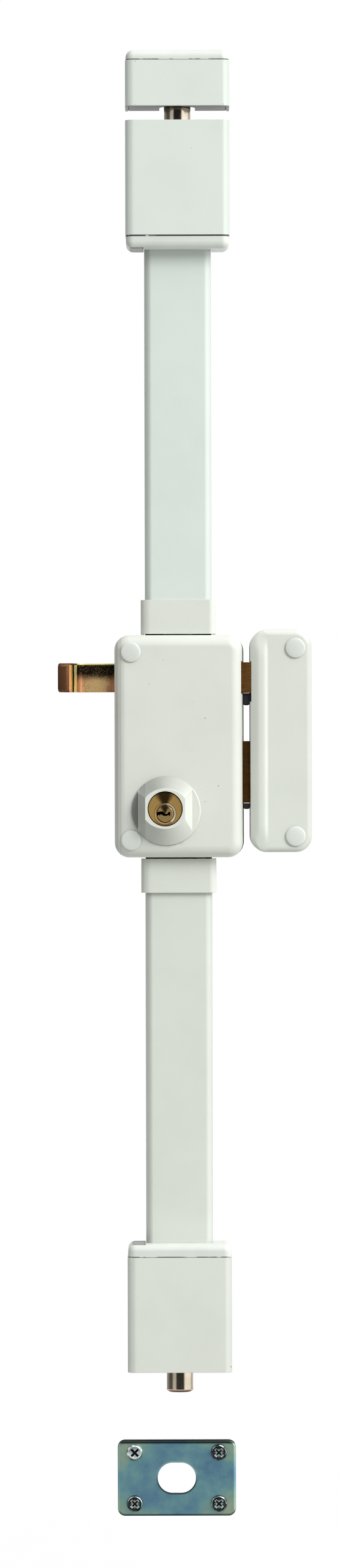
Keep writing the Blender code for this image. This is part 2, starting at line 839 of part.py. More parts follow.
def make_pull(right):
    """Flat bar whose end is bent forward and leans outwards, with a thick rounded edge for the fingers."""
    back, front = pull_depth, pull_depth + pull_thickness
    tip = front + pull_grip_height
    end = pull_bar_end
    foot = end + pull_grip_width + pull_grip_lean
    bow = pull_grip_lean
    inner = []
    for i in range(edge_steps + 1):
        a = 0.5 * math.pi * i / edge_steps
        inner.append((foot + bow - bow * math.sin(a), front + bow - bow * math.cos(a)))
    section = [(right, back), (right, front)] + inner
    section += [(end + pull_grip_width, tip), (end, tip), (end, front + bow)]
    section += [(end + bow, back)]
    low, high = latch_z - pull_height / 2, latch_z + pull_height / 2
    pull = post("pull_handle", section, low, high)
    bevel = pull.modifiers.new("rounded_edges", "BEVEL")
    bevel.width = pull_grip_round
    bevel.segments = 2
    bevel.limit_method = "WEIGHT"
    weights = pull.data.attributes.new("bevel_weight_edge", "FLOAT", "EDGE")
    for edge in pull.data.edges:
        ends = [pull.data.vertices[i].co for i in edge.vertices]
        if all(-p.y > front + 2 * bow and p.x < end + pull_grip_width + pull_grip_round for p in ends):
            weights.data[edge.index].value = 1
    lug = block(
        "spring_lug", (spring_lug_x, spring_lug_x + spring_lug_width), (back, front),
        (spring_axis().z - spring_radius, low + overcut),
    )
    return weld(pull, lug)


def make_spring(start, end, ring=5, per_turn=8):
    """Coil of round wire from one point to another along X."""
    count = spring_turns * per_turn
    radius = spring_radius - spring_wire / 2
    first, last = start.x + spring_wire / 2, end.x - spring_wire / 2
    rings = []
    for i in range(count + 1):
        share = i / count
        a = 2 * math.pi * spring_turns * share
        out = Vector((0, math.cos(a), math.sin(a)))
        centre = Vector((first + (last - first) * share, start.y, start.z)) + radius * out
        sides = [2 * math.pi * k / ring for k in range(ring)]
        spokes = [Vector((math.sin(t), 0, 0)) + math.cos(t) * out for t in sides]
        rings.append([centre + spring_wire / 2 * spoke for spoke in spokes])
    return skin("latch_spring", rings)


def make_rack(name, side, lap_z):
    """Rack plate beside the pinion, with a lap for its rod. Side 1 is the upper one, at the left."""
    bearing = math.pi if side > 0 else 0
    edge = rack_edge(bearing, -(bolt_travel + rack_spare), rack_spare)
    root = pinion_pitch + dedendum_share * rack_module
    outer = pinion_x - side * (root + rack_width)
    inner = pinion_x + side * (pinion_pitch - addendum_share * rack_module - rack_lap_clearance)
    far = lap_z + side * rod_lap
    outline = [(outer, edge[-1][1])] + edge[::-1]
    outline += [(edge[0][0], lap_z), (inner, lap_z), (inner, far), (outer, far)]
    rack = slab(name, outline, rack_back, rack_front)
    middle = Vector((pinion_x + (outer + inner - 2 * pinion_x) / 4, 0, lap_z + side * rod_lap / 2))
    cut(rack, drill(f"{name}_hole", middle, lap_pin_radius + fit, rack_back, rack_front))
    return rack, middle


def make_rod(label, side, lap_z, projection):
    """Rod, round bolt and the two pins that join rack, rod and bolt."""
    rack, rack_pin_axis = make_rack(f"{label}_rack", side, lap_z)
    tip = box_far + projection
    foot = box_near + bolt_foot_clearance + bolt_travel
    lap_end = foot + bolt_lap
    far = lap_end - fit
    low, high = sorted((lap_z, side * far))
    half = rod_width / 2
    rod = rounded_plate(f"{label}_rod", -half, half, low, high, rod_corner, rod_depth, rod_front)
    bolt_pin_axis = Vector((0, 0, side * (foot + bolt_lap / 2)))
    cut(
        rod,
        drill(f"{label}_rod_rack_hole", rack_pin_axis, lap_pin_radius + fit, rod_depth, rod_front),
        drill(f"{label}_rod_bolt_hole", bolt_pin_axis, bolt_pin_radius + fit, rod_depth, rod_front),
    )
    profile = [(bolt_radius, foot)]
    profile += [(bolt_radius - inset, tip - behind) for inset, behind in round_edge(bolt_tip_round)]
    rings = [
        [(x, -bolt_axis_depth - y, side * height) for x, y in circle((0, 0), radius)]
        for radius, height in profile
    ]
    bolt = skin(f"{label}_bolt", rings)
    flat = (bolt_axis_depth - bolt_radius - overcut, rack_back)
    across = (-bolt_radius - overcut, bolt_radius + overcut)
    bolt_front = bolt_axis_depth + bolt_radius
    cut(
        bolt,
        block(f"{label}_bolt_flat", across, flat, mirrored(side, (foot - overcut, lap_end))),
        pin(f"{label}_bolt_hole", bolt_pin_axis, bolt_pin_radius + fit, 0, bolt_front + overcut),
    )
    rack_pin = pin(f"{label}_rack_pin", rack_pin_axis, lap_pin_radius, rod_depth + fit, rack_front - fit)
    bolt_pin = pin(f"{label}_bolt_pin", bolt_pin_axis, bolt_pin_radius, rod_depth + fit, bolt_front - overcut)
    assign([rack, rod, rack_pin, bolt_pin], steel)
    assign([bolt], nickel)
    return rack, rod, bolt, rack_pin, bolt_pin


def make_covers(label, side):
    """Sleeve and channel over the rod, and the staple that guides the rod in the channel."""
    start = case_top + sleeve_gap
    sleeve_width = channel_width + 2 * (fit + sleeve_wall)
    sleeve_depth = channel_depth + fit + sleeve_wall
    sleeve = post(
        f"{label}_sleeve", channel_section(sleeve_width, sleeve_depth, sleeve_wall, profile_edge),
        *mirrored(side, (start, start + sleeve_height)),
    )
    channel = post(
        f"{label}_channel", channel_section(channel_width, channel_depth, channel_wall, profile_edge),
        *mirrored(side, (start + sleeve_height - channel_insert, box_near + end_cap_spigot)),
    )
    inside = channel_width / 2 - channel_wall - fit
    arch = guide_width / 2
    window = rod_width / 2 + slide_gap
    top = rod_front + slide_gap
    half = [(inside, 0), (inside, guide_thickness), (arch, guide_thickness), (arch, top + guide_thickness)]
    gap = [(window, top), (window, 0)]
    section = half + [(-x, d) for x, d in reversed(half)] + [(-x, d) for x, d in reversed(gap)] + gap
    guide = post(f"{label}_rod_guide", section, *mirrored(side, (guide_z, guide_z + guide_height)))
    assign([sleeve, channel], white_paint)
    assign([guide], black_plastic)


def end_cap_rings(side, near, far, half_width, back, front, edge, rounding):
    """Rings of a moulded cap from its flat joint to its rounded end. Left, right and front are rounded."""
    rings = []
    for i in range(edge_steps + 2):
        if i == 0:
            height, inset = near, 0
        else:
            a = 0.5 * math.pi * (i - 1) / edge_steps
            height = far + math.copysign(rounding * (1 - math.sin(a)), near - far)
            inset = rounding * (1 - math.cos(a))
        corner = max(edge - inset, 2 * end_cap_step)
        radii = [(end_cap_step, end_cap_step)] * 2 + [(corner, corner)] * 2
        outline = rounded(-half_width + inset, half_width - inset, back, front - inset, radii)
        rings.append([(x, -d, side * height) for x, d in outline])
    return rings


def make_cap(name, side, near, far, depth, spigot):
    """Hollow moulded cap: near is its joint with the folded body, far its closed rounded end."""
    half = box_width / 2 - end_cap_step
    inward = math.copysign(1, near - far)
    front = depth - end_cap_step
    cap = skin(name, end_cap_rings(side, near, far, half, 0, front, profile_edge, end_cap_round))
    hollow = end_cap_rings(
        side, near + inward * overcut, far + inward * box_wall, half - box_wall, -overcut, front - box_wall,
        profile_edge - box_wall, end_cap_round - box_wall,
    )
    cut(cap, skin(f"{name}_hollow", hollow))
    lip_width = box_width - 2 * (box_wall + fit)
    lip_depth = depth - box_wall - fit
    lip = post(
        f"{name}_spigot",
        channel_section(lip_width, lip_depth, box_wall, profile_edge - box_wall - fit, 2 * fit),
        *mirrored(side, (far + inward * 2 * box_wall, near + inward * (spigot + fit))),
    )
    return weld(cap, lip)


def make_bolt_case(label, side):
    """Folded case over the round bolt, its moulded end cap and the bracket that guides the bolt."""
    case = post(
        f"{label}_bolt_case", channel_section(box_width, box_depth, box_wall, profile_edge),
        *mirrored(side, (box_near, box_far)),
    )
    near, far = box_near - fit, box_near - end_cap_height
    cap = make_cap(f"{label}_end_cap", side, near, far, box_depth, end_cap_spigot)
    opening = channel_width / 2 + channel_opening_gap
    cut(
        cap,
        block(
            f"{label}_channel_opening", (-opening, opening), (-overcut, channel_depth + channel_opening_gap),
            mirrored(side, (far - overcut, box_near + end_cap_spigot + overcut)),
        ),
    )
    ear = box_width / 2 - box_wall - fit
    ear_depth = box_depth - box_wall - fit
    corner = profile_edge - box_wall
    radii = [(fit, fit)] * 2 + [(corner, corner)] * 2
    ear_outline = rounded(-ear, ear, 0, ear_depth, radii)
    base_start = box_near + end_cap_spigot + 2 * fit + end_cap_step
    bracket = block(
        f"{label}_bolt_guide", (-bracket_base_width / 2, bracket_base_width / 2),
        (0, bracket_base_thickness), mirrored(side, (base_start, box_far - 2 * fit)),
    )
    inner_ear = box_near + bolt_foot_clearance + bolt_travel + bolt_lap + 2 * fit
    for i, start in enumerate((inner_ear, box_far - fit - bracket_thickness)):
        ear_range = mirrored(side, (start, start + bracket_thickness))
        weld(bracket, post(f"{label}_guide_ear_{i}", ear_outline, *ear_range))
    bore = bolt_radius + slide_gap
    rings = [
        [(x, -bolt_axis_depth - y, height) for x, y in circle((0, 0), bore)]
        for height in mirrored(side, (inner_ear - overcut, box_far + overcut))
    ]
    cut(bracket, skin(f"{label}_guide_bore", rings))
    assign([case], white_paint)
    assign([cap], white_plastic)
    assign([bracket], dark_steel)


def make_top_keep():
    """White body with a moulded cap, round a bracket with a notch that is open towards the frame."""
    bottom = top_keep_bottom
    top = bottom + top_keep_height
    body = post("top_keep_body", channel_section(box_width, box_depth, box_wall, profile_edge), bottom, top)
    cap = make_cap("top_keep_cap", 1, top + fit, top + top_keep_cap_height, box_depth, end_cap_spigot)
    half = box_width / 2 - box_wall - top_keep_side_gap
    depth = box_depth - box_wall - top_keep_side_gap
    corner = profile_edge - box_wall
    plate = post(
        "top_keep_bracket", rounded(-half, half, 0, depth, [(fit, fit)] * 2 + [(corner, corner)] * 2),
        bottom + fit, bottom + fit + top_keep_plate,
    )
    leg = block("top_keep_leg", (-half, half), (0, top_keep_plate), (bottom + 2 * fit, bottom + top_keep_leg))
    notch = [(top_keep_notch, -overcut)]
    for i in range(2 * corner_steps + 1):
        a = math.pi * i / (2 * corner_steps)
        notch.append((top_keep_notch * math.cos(a), bolt_axis_depth + top_keep_notch * math.sin(a)))
    notch.append((-top_keep_notch, -overcut))
    weld(plate, leg)
    cut(plate, post("top_keep_notch_tool", notch, bottom - overcut, bottom + upper_bolt_projection))
    hole_x = (half + top_keep_notch) / 2
    holes = [(Vector((x, 0, bottom + 0.7 * top_keep_leg)), plate_hole_radius) for x in (-hole_x, hole_x)]
    cut(plate, drills("top_keep_screw_holes", holes, 0, top_keep_plate))
    assign([body, plate], white_paint)
    assign([cap], white_plastic)


def make_pad(name, bolt_low, height):
    """Black rest pad below a bolt in the gap, on a neck that stands on the keep's plate."""
    left = case_right + fit
    right = keep_left - fit
    high = bolt_low - pad_gap_below_latch
    low = high - height + pad_gap_below_latch
    neck = high - height * pad_neck_share
    outline = []
    for x, start in ((left + pad_round, math.pi), (right - pad_round, 1.5 * math.pi)):
        for i in range(edge_steps + 1):
            a = start + 0.5 * math.pi * i / edge_steps
            outline.append((x + pad_round * math.cos(a), low + pad_round + pad_round * math.sin(a)))
    end = keep_left + pad_length
    outline += [(right, neck), (end, neck), (end, high), (left, high)]
    pad = slab(name, outline, cover_back, deadbolt_front)
    clear = block(
        f"{name}_undercut", (left - overcut, end - pad_foot), (cover_back - overcut, pad_depth),
        (low - overcut, high + overcut),
    )
    return cut(pad, clear), neck


def make_side_keep():
    low = keep_rise - keep_height / 2
    high = keep_rise + keep_height / 2
    ramp = list(keep_ramp)
    inner_ramp = ramp[:-1] + [(ramp[-1][0] - keep_wall, 0.0)]
    shell = cover(
        "side_keep_cover", keep_left, keep_right, low, high, keep_corner, (ramp, inner_ramp),
        keep_edge, keep_wall, cover_back, keep_depth,
    )
    back_plate = rounded_plate(
        "side_keep_back_plate", keep_left - fit, keep_right - fit, low + fit, high - fit, keep_corner,
        0, plate_thickness,
    )
    screws = screw_places(keep_right - cap_inset, keep_rise - keep_screw_drop, keep_height)
    labels = ("upper_keep", "lower_keep")
    for label, axis in zip(labels, screws):
        drill_boss(shell, label, axis, keep_wall, keep_depth)
    holes = [(axis, screw_radius + fit) for axis in screws]
    cut(back_plate, drills("keep_plate_holes", holes, 0, plate_thickness))
    latch_low, deadbolt_low = latch_z - latch_height / 2, deadbolt_top - deadbolt_height
    latch_pad, latch_neck = make_pad("latch_rest_pad", latch_low, latch_pad_height)
    deadbolt_pad, deadbolt_neck = make_pad("deadbolt_rest_pad", deadbolt_low, deadbolt_pad_height)
    wall = (keep_left - overcut, keep_left + keep_ramp[-2][0])
    cut(
        shell,
        block(
            "keep_latch_opening", wall, (latch_back - slide_gap, latch_front + fit),
            (latch_neck - slide_gap, latch_z + latch_height / 2 + slide_gap),
        ),
        block(
            "keep_deadbolt_opening", wall, (deadbolt_back - slide_gap, deadbolt_front + slide_gap),
            (deadbolt_neck - slide_gap, deadbolt_top + slide_gap),
        ),
    )
    caps_and_screws = [cap_and_screw(label, axis, keep_depth) for label, axis in zip(labels, screws)]
    assign([shell], white_paint)
    assign([back_plate], dark_steel)
    assign([latch_pad, deadbolt_pad], black_plastic)
    assign([cap for cap, _ in caps_and_screws], white_plastic)
    assign([screw for _, screw in caps_and_screws], zinc)


def floor_screw(name, axis, back):
    """Cross-recess pan head screw through the floor keep, whose tip rests at depth 0."""
    seat = back + floor_keep_thickness + fit
    top = seat + floor_screw_head_height
    profile = [(0.25 * floor_screw_radius, 0), (floor_screw_radius, 2 * floor_screw_radius)]
    profile += [(floor_screw_radius, seat), (floor_screw_head_radius, seat)]
    profile += [(floor_screw_head_radius, seat + 0.6 * floor_screw_head_height)]
    profile += [(0.86 * floor_screw_head_radius, top)]
    screw = turned(name, axis, profile, pin_steps)
    long, wide = floor_screw_cross / 2, floor_screw_cross_width / 2
    cross = [(long, wide), (wide, wide), (wide, long)]
    outline = []
    for quarter in range(4):
        c, s = math.cos(math.pi / 4 + quarter * math.pi / 2), math.sin(math.pi / 4 + quarter * math.pi / 2)
        outline += [(axis.x + x * c - z * s, axis.z + x * s + z * c) for x, z in cross[:2]]
        outline += [(axis.x + x * c - z * s, axis.z + x * s + z * c) for x, z in cross[2:]]
    return cut(screw, slab(f"{name}_cross", outline, top - floor_screw_cross_depth, top + overcut))


def make_floor_keep():
    back = floor_screw_length
    front = back + floor_keep_thickness
    half_x, half_z = floor_keep_width / 2, floor_keep_height / 2
    box = (floor_keep_x - half_x, floor_keep_x + half_x, floor_keep_z - half_z, floor_keep_z + half_z)
    rings = cover_rings(*box, floor_keep_corner, round_edge(floor_keep_edge), floor_keep_edge, back, front)
    plate = skin("floor_keep_plate", rings)
    hole_x, hole_z = floor_hole_width / 2, floor_hole_height / 2
    hole = rounded(
        floor_keep_x - hole_x, floor_keep_x + hole_x, floor_keep_z - hole_z, floor_keep_z + hole_z,
        [(hole_z - fit, hole_z - fit)] * 4,
    )
    places = {}
    for label, sx, sz in (
        ("upper_left", -1, 1), ("upper_right", 1, 1), ("lower_left", -1, -1), ("lower_right", 1, -1)
    ):
        x = floor_keep_x + sx * floor_screw_spacing_x / 2
        places[label] = Vector((x, 0, floor_keep_z + sz * floor_screw_spacing_z / 2))
    holes = [(axis, floor_screw_radius + fit) for axis in places.values()]
    cut(
        plate,
        slab("floor_bolt_hole", hole, back - overcut, front + overcut),
        drills("floor_screw_holes", holes, back, front),
    )
    screws = [floor_screw(f"{label}_floor_screw", axis, back) for label, axis in places.items()]
    assign([plate] + screws, zinc)


clear_scene()
white_paint = make_material("white_paint", (0.70, 0.73, 0.68), 0.45, 0)
white_plastic = make_material("white_plastic", (0.71, 0.74, 0.69), 0.4, 0)
dark_steel = make_material("dark_steel", (0.12, 0.13, 0.13), 0.5, 0.7)
steel = make_material("steel", (0.45, 0.45, 0.44), 0.4, 1)
nickel = make_material("nickel", (0.42, 0.37, 0.31), 0.25, 1)
bichromate = make_material("bichromate", (0.45, 0.27, 0.11), 0.35, 1)
brass = make_material("brass", (0.46, 0.34, 0.15), 0.35, 1)
zinc = make_material("zinc", (0.24, 0.33, 0.34), 0.4, 0.9)
black_plastic = make_material("black_plastic", (0.012, 0.012, 0.014), 0.5, 0)

pinion_phase = 0.0
drive_phase = 0.0
small_phase = meshing_phase(reduction_bearing, drive_teeth, drive_phase, small_teeth)
wheel_phase = small_phase
plug_phase = meshing_phase(plug_bearing, wheel_teeth, wheel_phase, plug_teeth)

make_case()
plug = make_cylinder()
drive_gear, central_pinion, reduction_gear, plug_gear = make_gears()
deadbolt = make_deadbolt()
latch_pieces = make_latch()
upper_pieces = make_rod("upper", 1, upper_rack_lap_z, upper_bolt_projection)
lower_pieces = make_rod("lower", -1, lower_rack_lap_z, lower_bolt_projection)
for label, side in (("upper", 1), ("lower", -1)):
    make_covers(label, side)
    make_bolt_case(label, side)
make_top_keep()
make_side_keep()
make_floor_keep()

carriage("plug_carriage", plug_axis, [plug, plug_gear])
carriage("reduction_carriage", reduction_axis, [reduction_gear])
carriage("pinion_carriage", pinion_axis, [central_pinion, drive_gear])
carriage("deadbolt_carriage", (case_right, -deadbolt_back, deadbolt_top), [deadbolt])
carriage("latch_carriage", (case_right, -latch_back, latch_z), latch_pieces)
carriage("upper_rod_carriage", (0, -bolt_axis_depth, box_far), upper_pieces)
carriage("lower_rod_carriage", (0, -bolt_axis_depth, -box_far), lower_pieces)
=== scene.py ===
# %% [markdown]
# # A three-point rim lock, dressed for its portrait
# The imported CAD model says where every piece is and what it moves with. This lesson puts finer surfaces and
# real finishes on that frame: powder-coated covers, a brass cylinder, passivated bolts and a zinc floor
# keep. The door is the plane y = 0, the lock stands out from it towards -Y, and everything is in metres.

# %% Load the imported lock
import json
import math

import bmesh
import bpy
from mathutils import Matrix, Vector

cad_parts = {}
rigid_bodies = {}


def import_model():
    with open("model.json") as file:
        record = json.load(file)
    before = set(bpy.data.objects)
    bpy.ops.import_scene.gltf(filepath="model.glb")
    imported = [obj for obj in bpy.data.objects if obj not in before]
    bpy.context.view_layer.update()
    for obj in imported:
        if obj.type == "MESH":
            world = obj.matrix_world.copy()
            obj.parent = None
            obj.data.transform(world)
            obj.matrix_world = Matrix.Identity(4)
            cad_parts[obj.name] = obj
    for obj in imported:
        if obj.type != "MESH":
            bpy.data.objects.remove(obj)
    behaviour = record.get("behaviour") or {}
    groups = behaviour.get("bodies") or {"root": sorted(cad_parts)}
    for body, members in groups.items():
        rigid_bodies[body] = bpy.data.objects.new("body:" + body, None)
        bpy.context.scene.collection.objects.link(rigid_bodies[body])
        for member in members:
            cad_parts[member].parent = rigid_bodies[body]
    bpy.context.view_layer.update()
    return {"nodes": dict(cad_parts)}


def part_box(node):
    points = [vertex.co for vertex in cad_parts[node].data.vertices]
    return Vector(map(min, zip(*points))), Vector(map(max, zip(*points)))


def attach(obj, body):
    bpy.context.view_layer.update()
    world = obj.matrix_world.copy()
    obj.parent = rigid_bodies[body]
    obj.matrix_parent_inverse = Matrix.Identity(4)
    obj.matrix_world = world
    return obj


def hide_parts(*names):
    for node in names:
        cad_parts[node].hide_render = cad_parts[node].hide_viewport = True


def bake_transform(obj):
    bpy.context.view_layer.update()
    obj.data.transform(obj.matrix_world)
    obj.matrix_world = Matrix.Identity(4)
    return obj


for old in list(bpy.data.objects):
    bpy.data.objects.remove(old)
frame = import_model()
nodes = frame["nodes"]

# %% [markdown]
# ## Small tools for modelling by hand
# Operators act on whatever is selected, so every step starts from an empty selection. A fresh primitive
# gets its place and size baked into its mesh at once, because each piece of the frame sits at the origin
# too.


# %% Start a piece from a primitive
def deselect():
    if bpy.context.object and bpy.context.object.mode == "EDIT":
        bpy.ops.object.mode_set(mode="OBJECT")
    bpy.ops.object.select_all(action="DESELECT")


def settle(name):
    """Names the fresh primitive and bakes its place, turn and size into its mesh."""
    piece = bpy.context.object
    piece.name = piece.data.name = name
    bpy.ops.object.transform_apply(location=True, rotation=True, scale=True)
    return piece


def add_block(name, low, high):
    deselect()
    low, high = Vector(low), Vector(high)
    bpy.ops.mesh.primitive_cube_add(size=1, location=(low + high) / 2)
    bpy.context.object.scale = high - low
    return settle(name)


def add_pin(name, centre, radius, low, high, vertices=48):
    """Round bar at (x, z), from one y to another."""
    deselect()
    place = (centre[0], (low + high) / 2, centre[1])
    bpy.ops.mesh.primitive_cylinder_add(
        vertices=vertices, radius=radius, depth=high - low, location=place, rotation=(math.pi / 2, 0, 0)
    )
    return settle(name)


print("block and pin primitives ready")


# %% Shape it in edit mode
def edit(piece):
    deselect()
    piece.select_set(True)
    bpy.context.view_layer.objects.active = piece
    bpy.ops.object.mode_set(mode="EDIT")


def choose(piece, kind, test):
    """Selects the faces or edges whose corner points pass the test."""
    bpy.ops.mesh.select_mode(type=kind)
    bpy.ops.mesh.select_all(action="DESELECT")
    shape = bmesh.from_edit_mesh(piece.data)
    for part in shape.faces if kind == "FACE" else shape.edges:
        if test([v.co for v in part.verts]):
            part.select_set(True)
    bmesh.update_edit_mesh(piece.data)


tolerance = 2e-6


def same(points, axis, value):
    """True if all the points lie at this x, y or z."""
    return all(abs(p[axis] - value) < tolerance for p in points)


def runs_along(points, axis):
    """True for an edge that runs along x, y or z."""
    return all(abs(points[0][i] - points[1][i]) < tolerance for i in range(3) if i != axis)


def merge_doubles():
    """Selects all of the piece that is being edited and joins the corners that lie on each other."""
    bpy.ops.mesh.select_all(action="SELECT")
    bpy.ops.mesh.remove_doubles(threshold=1e-7)


def round_edges(piece, radius, test, segments=8):
    edit(piece)
    choose(piece, "EDGE", test)
    bpy.ops.mesh.bevel(offset=radius, segments=segments, affect="EDGES")
    bpy.ops.object.mode_set(mode="OBJECT")


def remove_faces(piece, test):
    edit(piece)
    choose(piece, "FACE", test)
    bpy.ops.mesh.delete(type="FACE")
    bpy.ops.object.mode_set(mode="OBJECT")


print("edge rounding and face removal ready")

# %% [markdown]
# Some shapes are easier to raise ring by ring: a filled circle primitive is laid on the first outline, and
# its face is extruded and laid on the next one. Two rings make a bar of any section and many make a turned
# piece.


# %% Extrude a face from ring to ring
def lay(piece, before, ring):
    """Moves the corners of the selected face from one ring of points to the next, in their order."""
    shape = bmesh.from_edit_mesh(piece.data)
    corners = list(next(face for face in shape.faces if face.select).verts)
    count = len(corners)
    first = min(range(count), key=lambda i: (corners[i].co - Vector(before[0])).length)
    ahead = (corners[(first + 1) % count].co - Vector(before[1])).length
    behind = (corners[first - 1].co - Vector(before[1])).length
    step = 1 if ahead <= behind else -1
    for i, point in enumerate(ring):
        corners[(first + step * i) % count].co = point
    bmesh.update_edit_mesh(piece.data)


def loft(name, rings):
    deselect()
    bpy.ops.mesh.primitive_circle_add(vertices=len(rings[0]), radius=1, fill_type="NGON")
    piece = settle(name)
    edit(piece)
    bpy.ops.mesh.select_all(action="SELECT")
    lay(piece, [v.co.copy() for v in bmesh.from_edit_mesh(piece.data).verts], rings[0])
    for before, ring in zip(rings, rings[1:]):
        bpy.ops.mesh.extrude_region()
        lay(piece, before, ring)
    merge_doubles()
    bpy.ops.mesh.normals_make_consistent(inside=False)
    bpy.ops.object.mode_set(mode="OBJECT")
    return piece


def circle(centre, radius, steps=96):
    angles = [2 * math.pi * i / steps for i in range(steps)]
    return [(centre[0] + radius * math.cos(a), centre[1] + radius * math.sin(a)) for a in angles]


def turn(name, centre, profile, steps=96):
    """Turned piece on an axis along Y, from a profile of (radius, depth)."""
    return loft(name, [[(x, -depth, z) for x, z in circle(centre, r, steps)] for r, depth in profile])


def slab(name, outline, back, front):
    """An outline of points (x, z) between two depths."""
    return loft(name, [[(x, -depth, z) for x, z in outline] for depth in (back, front)])


def bar(name, section, bottom, top):
    """A section of points (x, depth) between two heights."""
    return loft(name, [[(x, -depth, z) for x, depth in section] for z in (bottom, top)])


print("ring lofts ready")


# %% Apply a modifier, carve, soften
def modify(piece, kind, **settings):
    deselect()
    piece.select_set(True)
    bpy.context.view_layer.objects.active = piece
    modifier = piece.modifiers.new(kind.lower(), kind)
    for key, value in settings.items():
        setattr(modifier, key, value)
    bpy.ops.object.modifier_apply(modifier=modifier.name)
    return piece


def carve(piece, *tools, operation="DIFFERENCE"):
    for tool in tools:
        modify(piece, "BOOLEAN", operation=operation, object=tool, solver="EXACT")
        bpy.data.objects.remove(tool)
    return piece


def thicken(piece, wall):
    """Gives an open skin its wall, inwards."""
    return modify(piece, "SOLIDIFY", thickness=wall, offset=-1, use_even_offset=True)


def soften(piece, width=0.0002, angle=40, segments=2):
    return modify(
        piece, "BEVEL", width=width, segments=segments, limit_method="ANGLE",
        angle_limit=math.radians(angle), miter_outer="MITER_ARC",
    )


print("modifiers are applied as soon as they are set")

# %% [markdown]
# Every piece ends the same way. Its curved faces are shaded smooth while its flat ones stay flat, it gets
# its finish, it is attached to the moving body it rides on, and the CAD piece it stands for is hidden. Inner
# pieces whose CAD shape is already right are copied, and the copy's loose triangles are merged before its
# edges are broken.


# %% Shade, dress and mount a piece
def copy_node(node, name):
    """Copy of a CAD node, left in edit mode with its triangles joined."""
    piece = bpy.data.objects.new(name, nodes[node].data.copy())
    bpy.context.scene.collection.objects.link(piece)
    edit(piece)
    merge_doubles()
    return piece


def fine_copy(node, name, width):
    """Copy of a CAD node with its triangles merged to faces and its sharp edges broken."""
    piece = copy_node(node, name)
    bpy.ops.mesh.dissolve_limited(angle_limit=math.radians(0.5))
    bpy.ops.object.mode_set(mode="OBJECT")
    return soften(piece, width, 50)


def dress(piece, replaced, finish, angle=35):
    deselect()
    piece.select_set(True)
    bpy.context.view_layer.objects.active = piece
    bpy.ops.object.shade_smooth_by_angle(angle=math.radians(angle))
    piece.data.materials.clear()
    piece.data.materials.append(finish)
    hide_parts(replaced)


def complete(piece, body, replaced, finish, angle=35):
    """Finishes a rigid piece and lets it ride on a body."""
    dress(piece, replaced, finish, angle)
    modify(piece, "WEIGHTED_NORMAL", keep_sharp=True)
    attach(piece, body)
    print(f"{piece.name}: {len(piece.data.polygons)} faces")


print("copies and mounts ready")

# %% [markdown]
# ## Shader sums as Python
# A finish is a node tree. One small class wraps a socket so that sums on it read as sums, and one method
# makes every other node from its type, its settings and its inputs.


# %% A socket that can be added and multiplied
class Signal:
    """An output socket. Sums with it make Math nodes."""

    def __init__(self, finish, socket):
        self.finish = finish
        self.socket = socket

    def math(self, operation, first, second):
        return self.finish.node("ShaderNodeMath", {"operation": operation}, {0: first, 1: second})

    def __add__(self, other):
        return self.math("ADD", self, other)

    def __sub__(self, other):
        return self.math("SUBTRACT", self, other)

    def __abs__(self):
        return self.finish.node("ShaderNodeMath", {"operation": "ABSOLUTE"}, {0: self})

    def __rsub__(self, other):
        return self.math("SUBTRACT", other, self)

    def __mul__(self, other):
        return self.math("MULTIPLY", self, other)

    def __truediv__(self, other):
        return self.math("DIVIDE", self, other)

    def __pow__(self, other):
        return self.math("POWER", self, other)

    def at_least(self, other):
        return self.math("MAXIMUM", self, other)

    __radd__ = __add__
    __rmul__ = __mul__


print("signals ready")


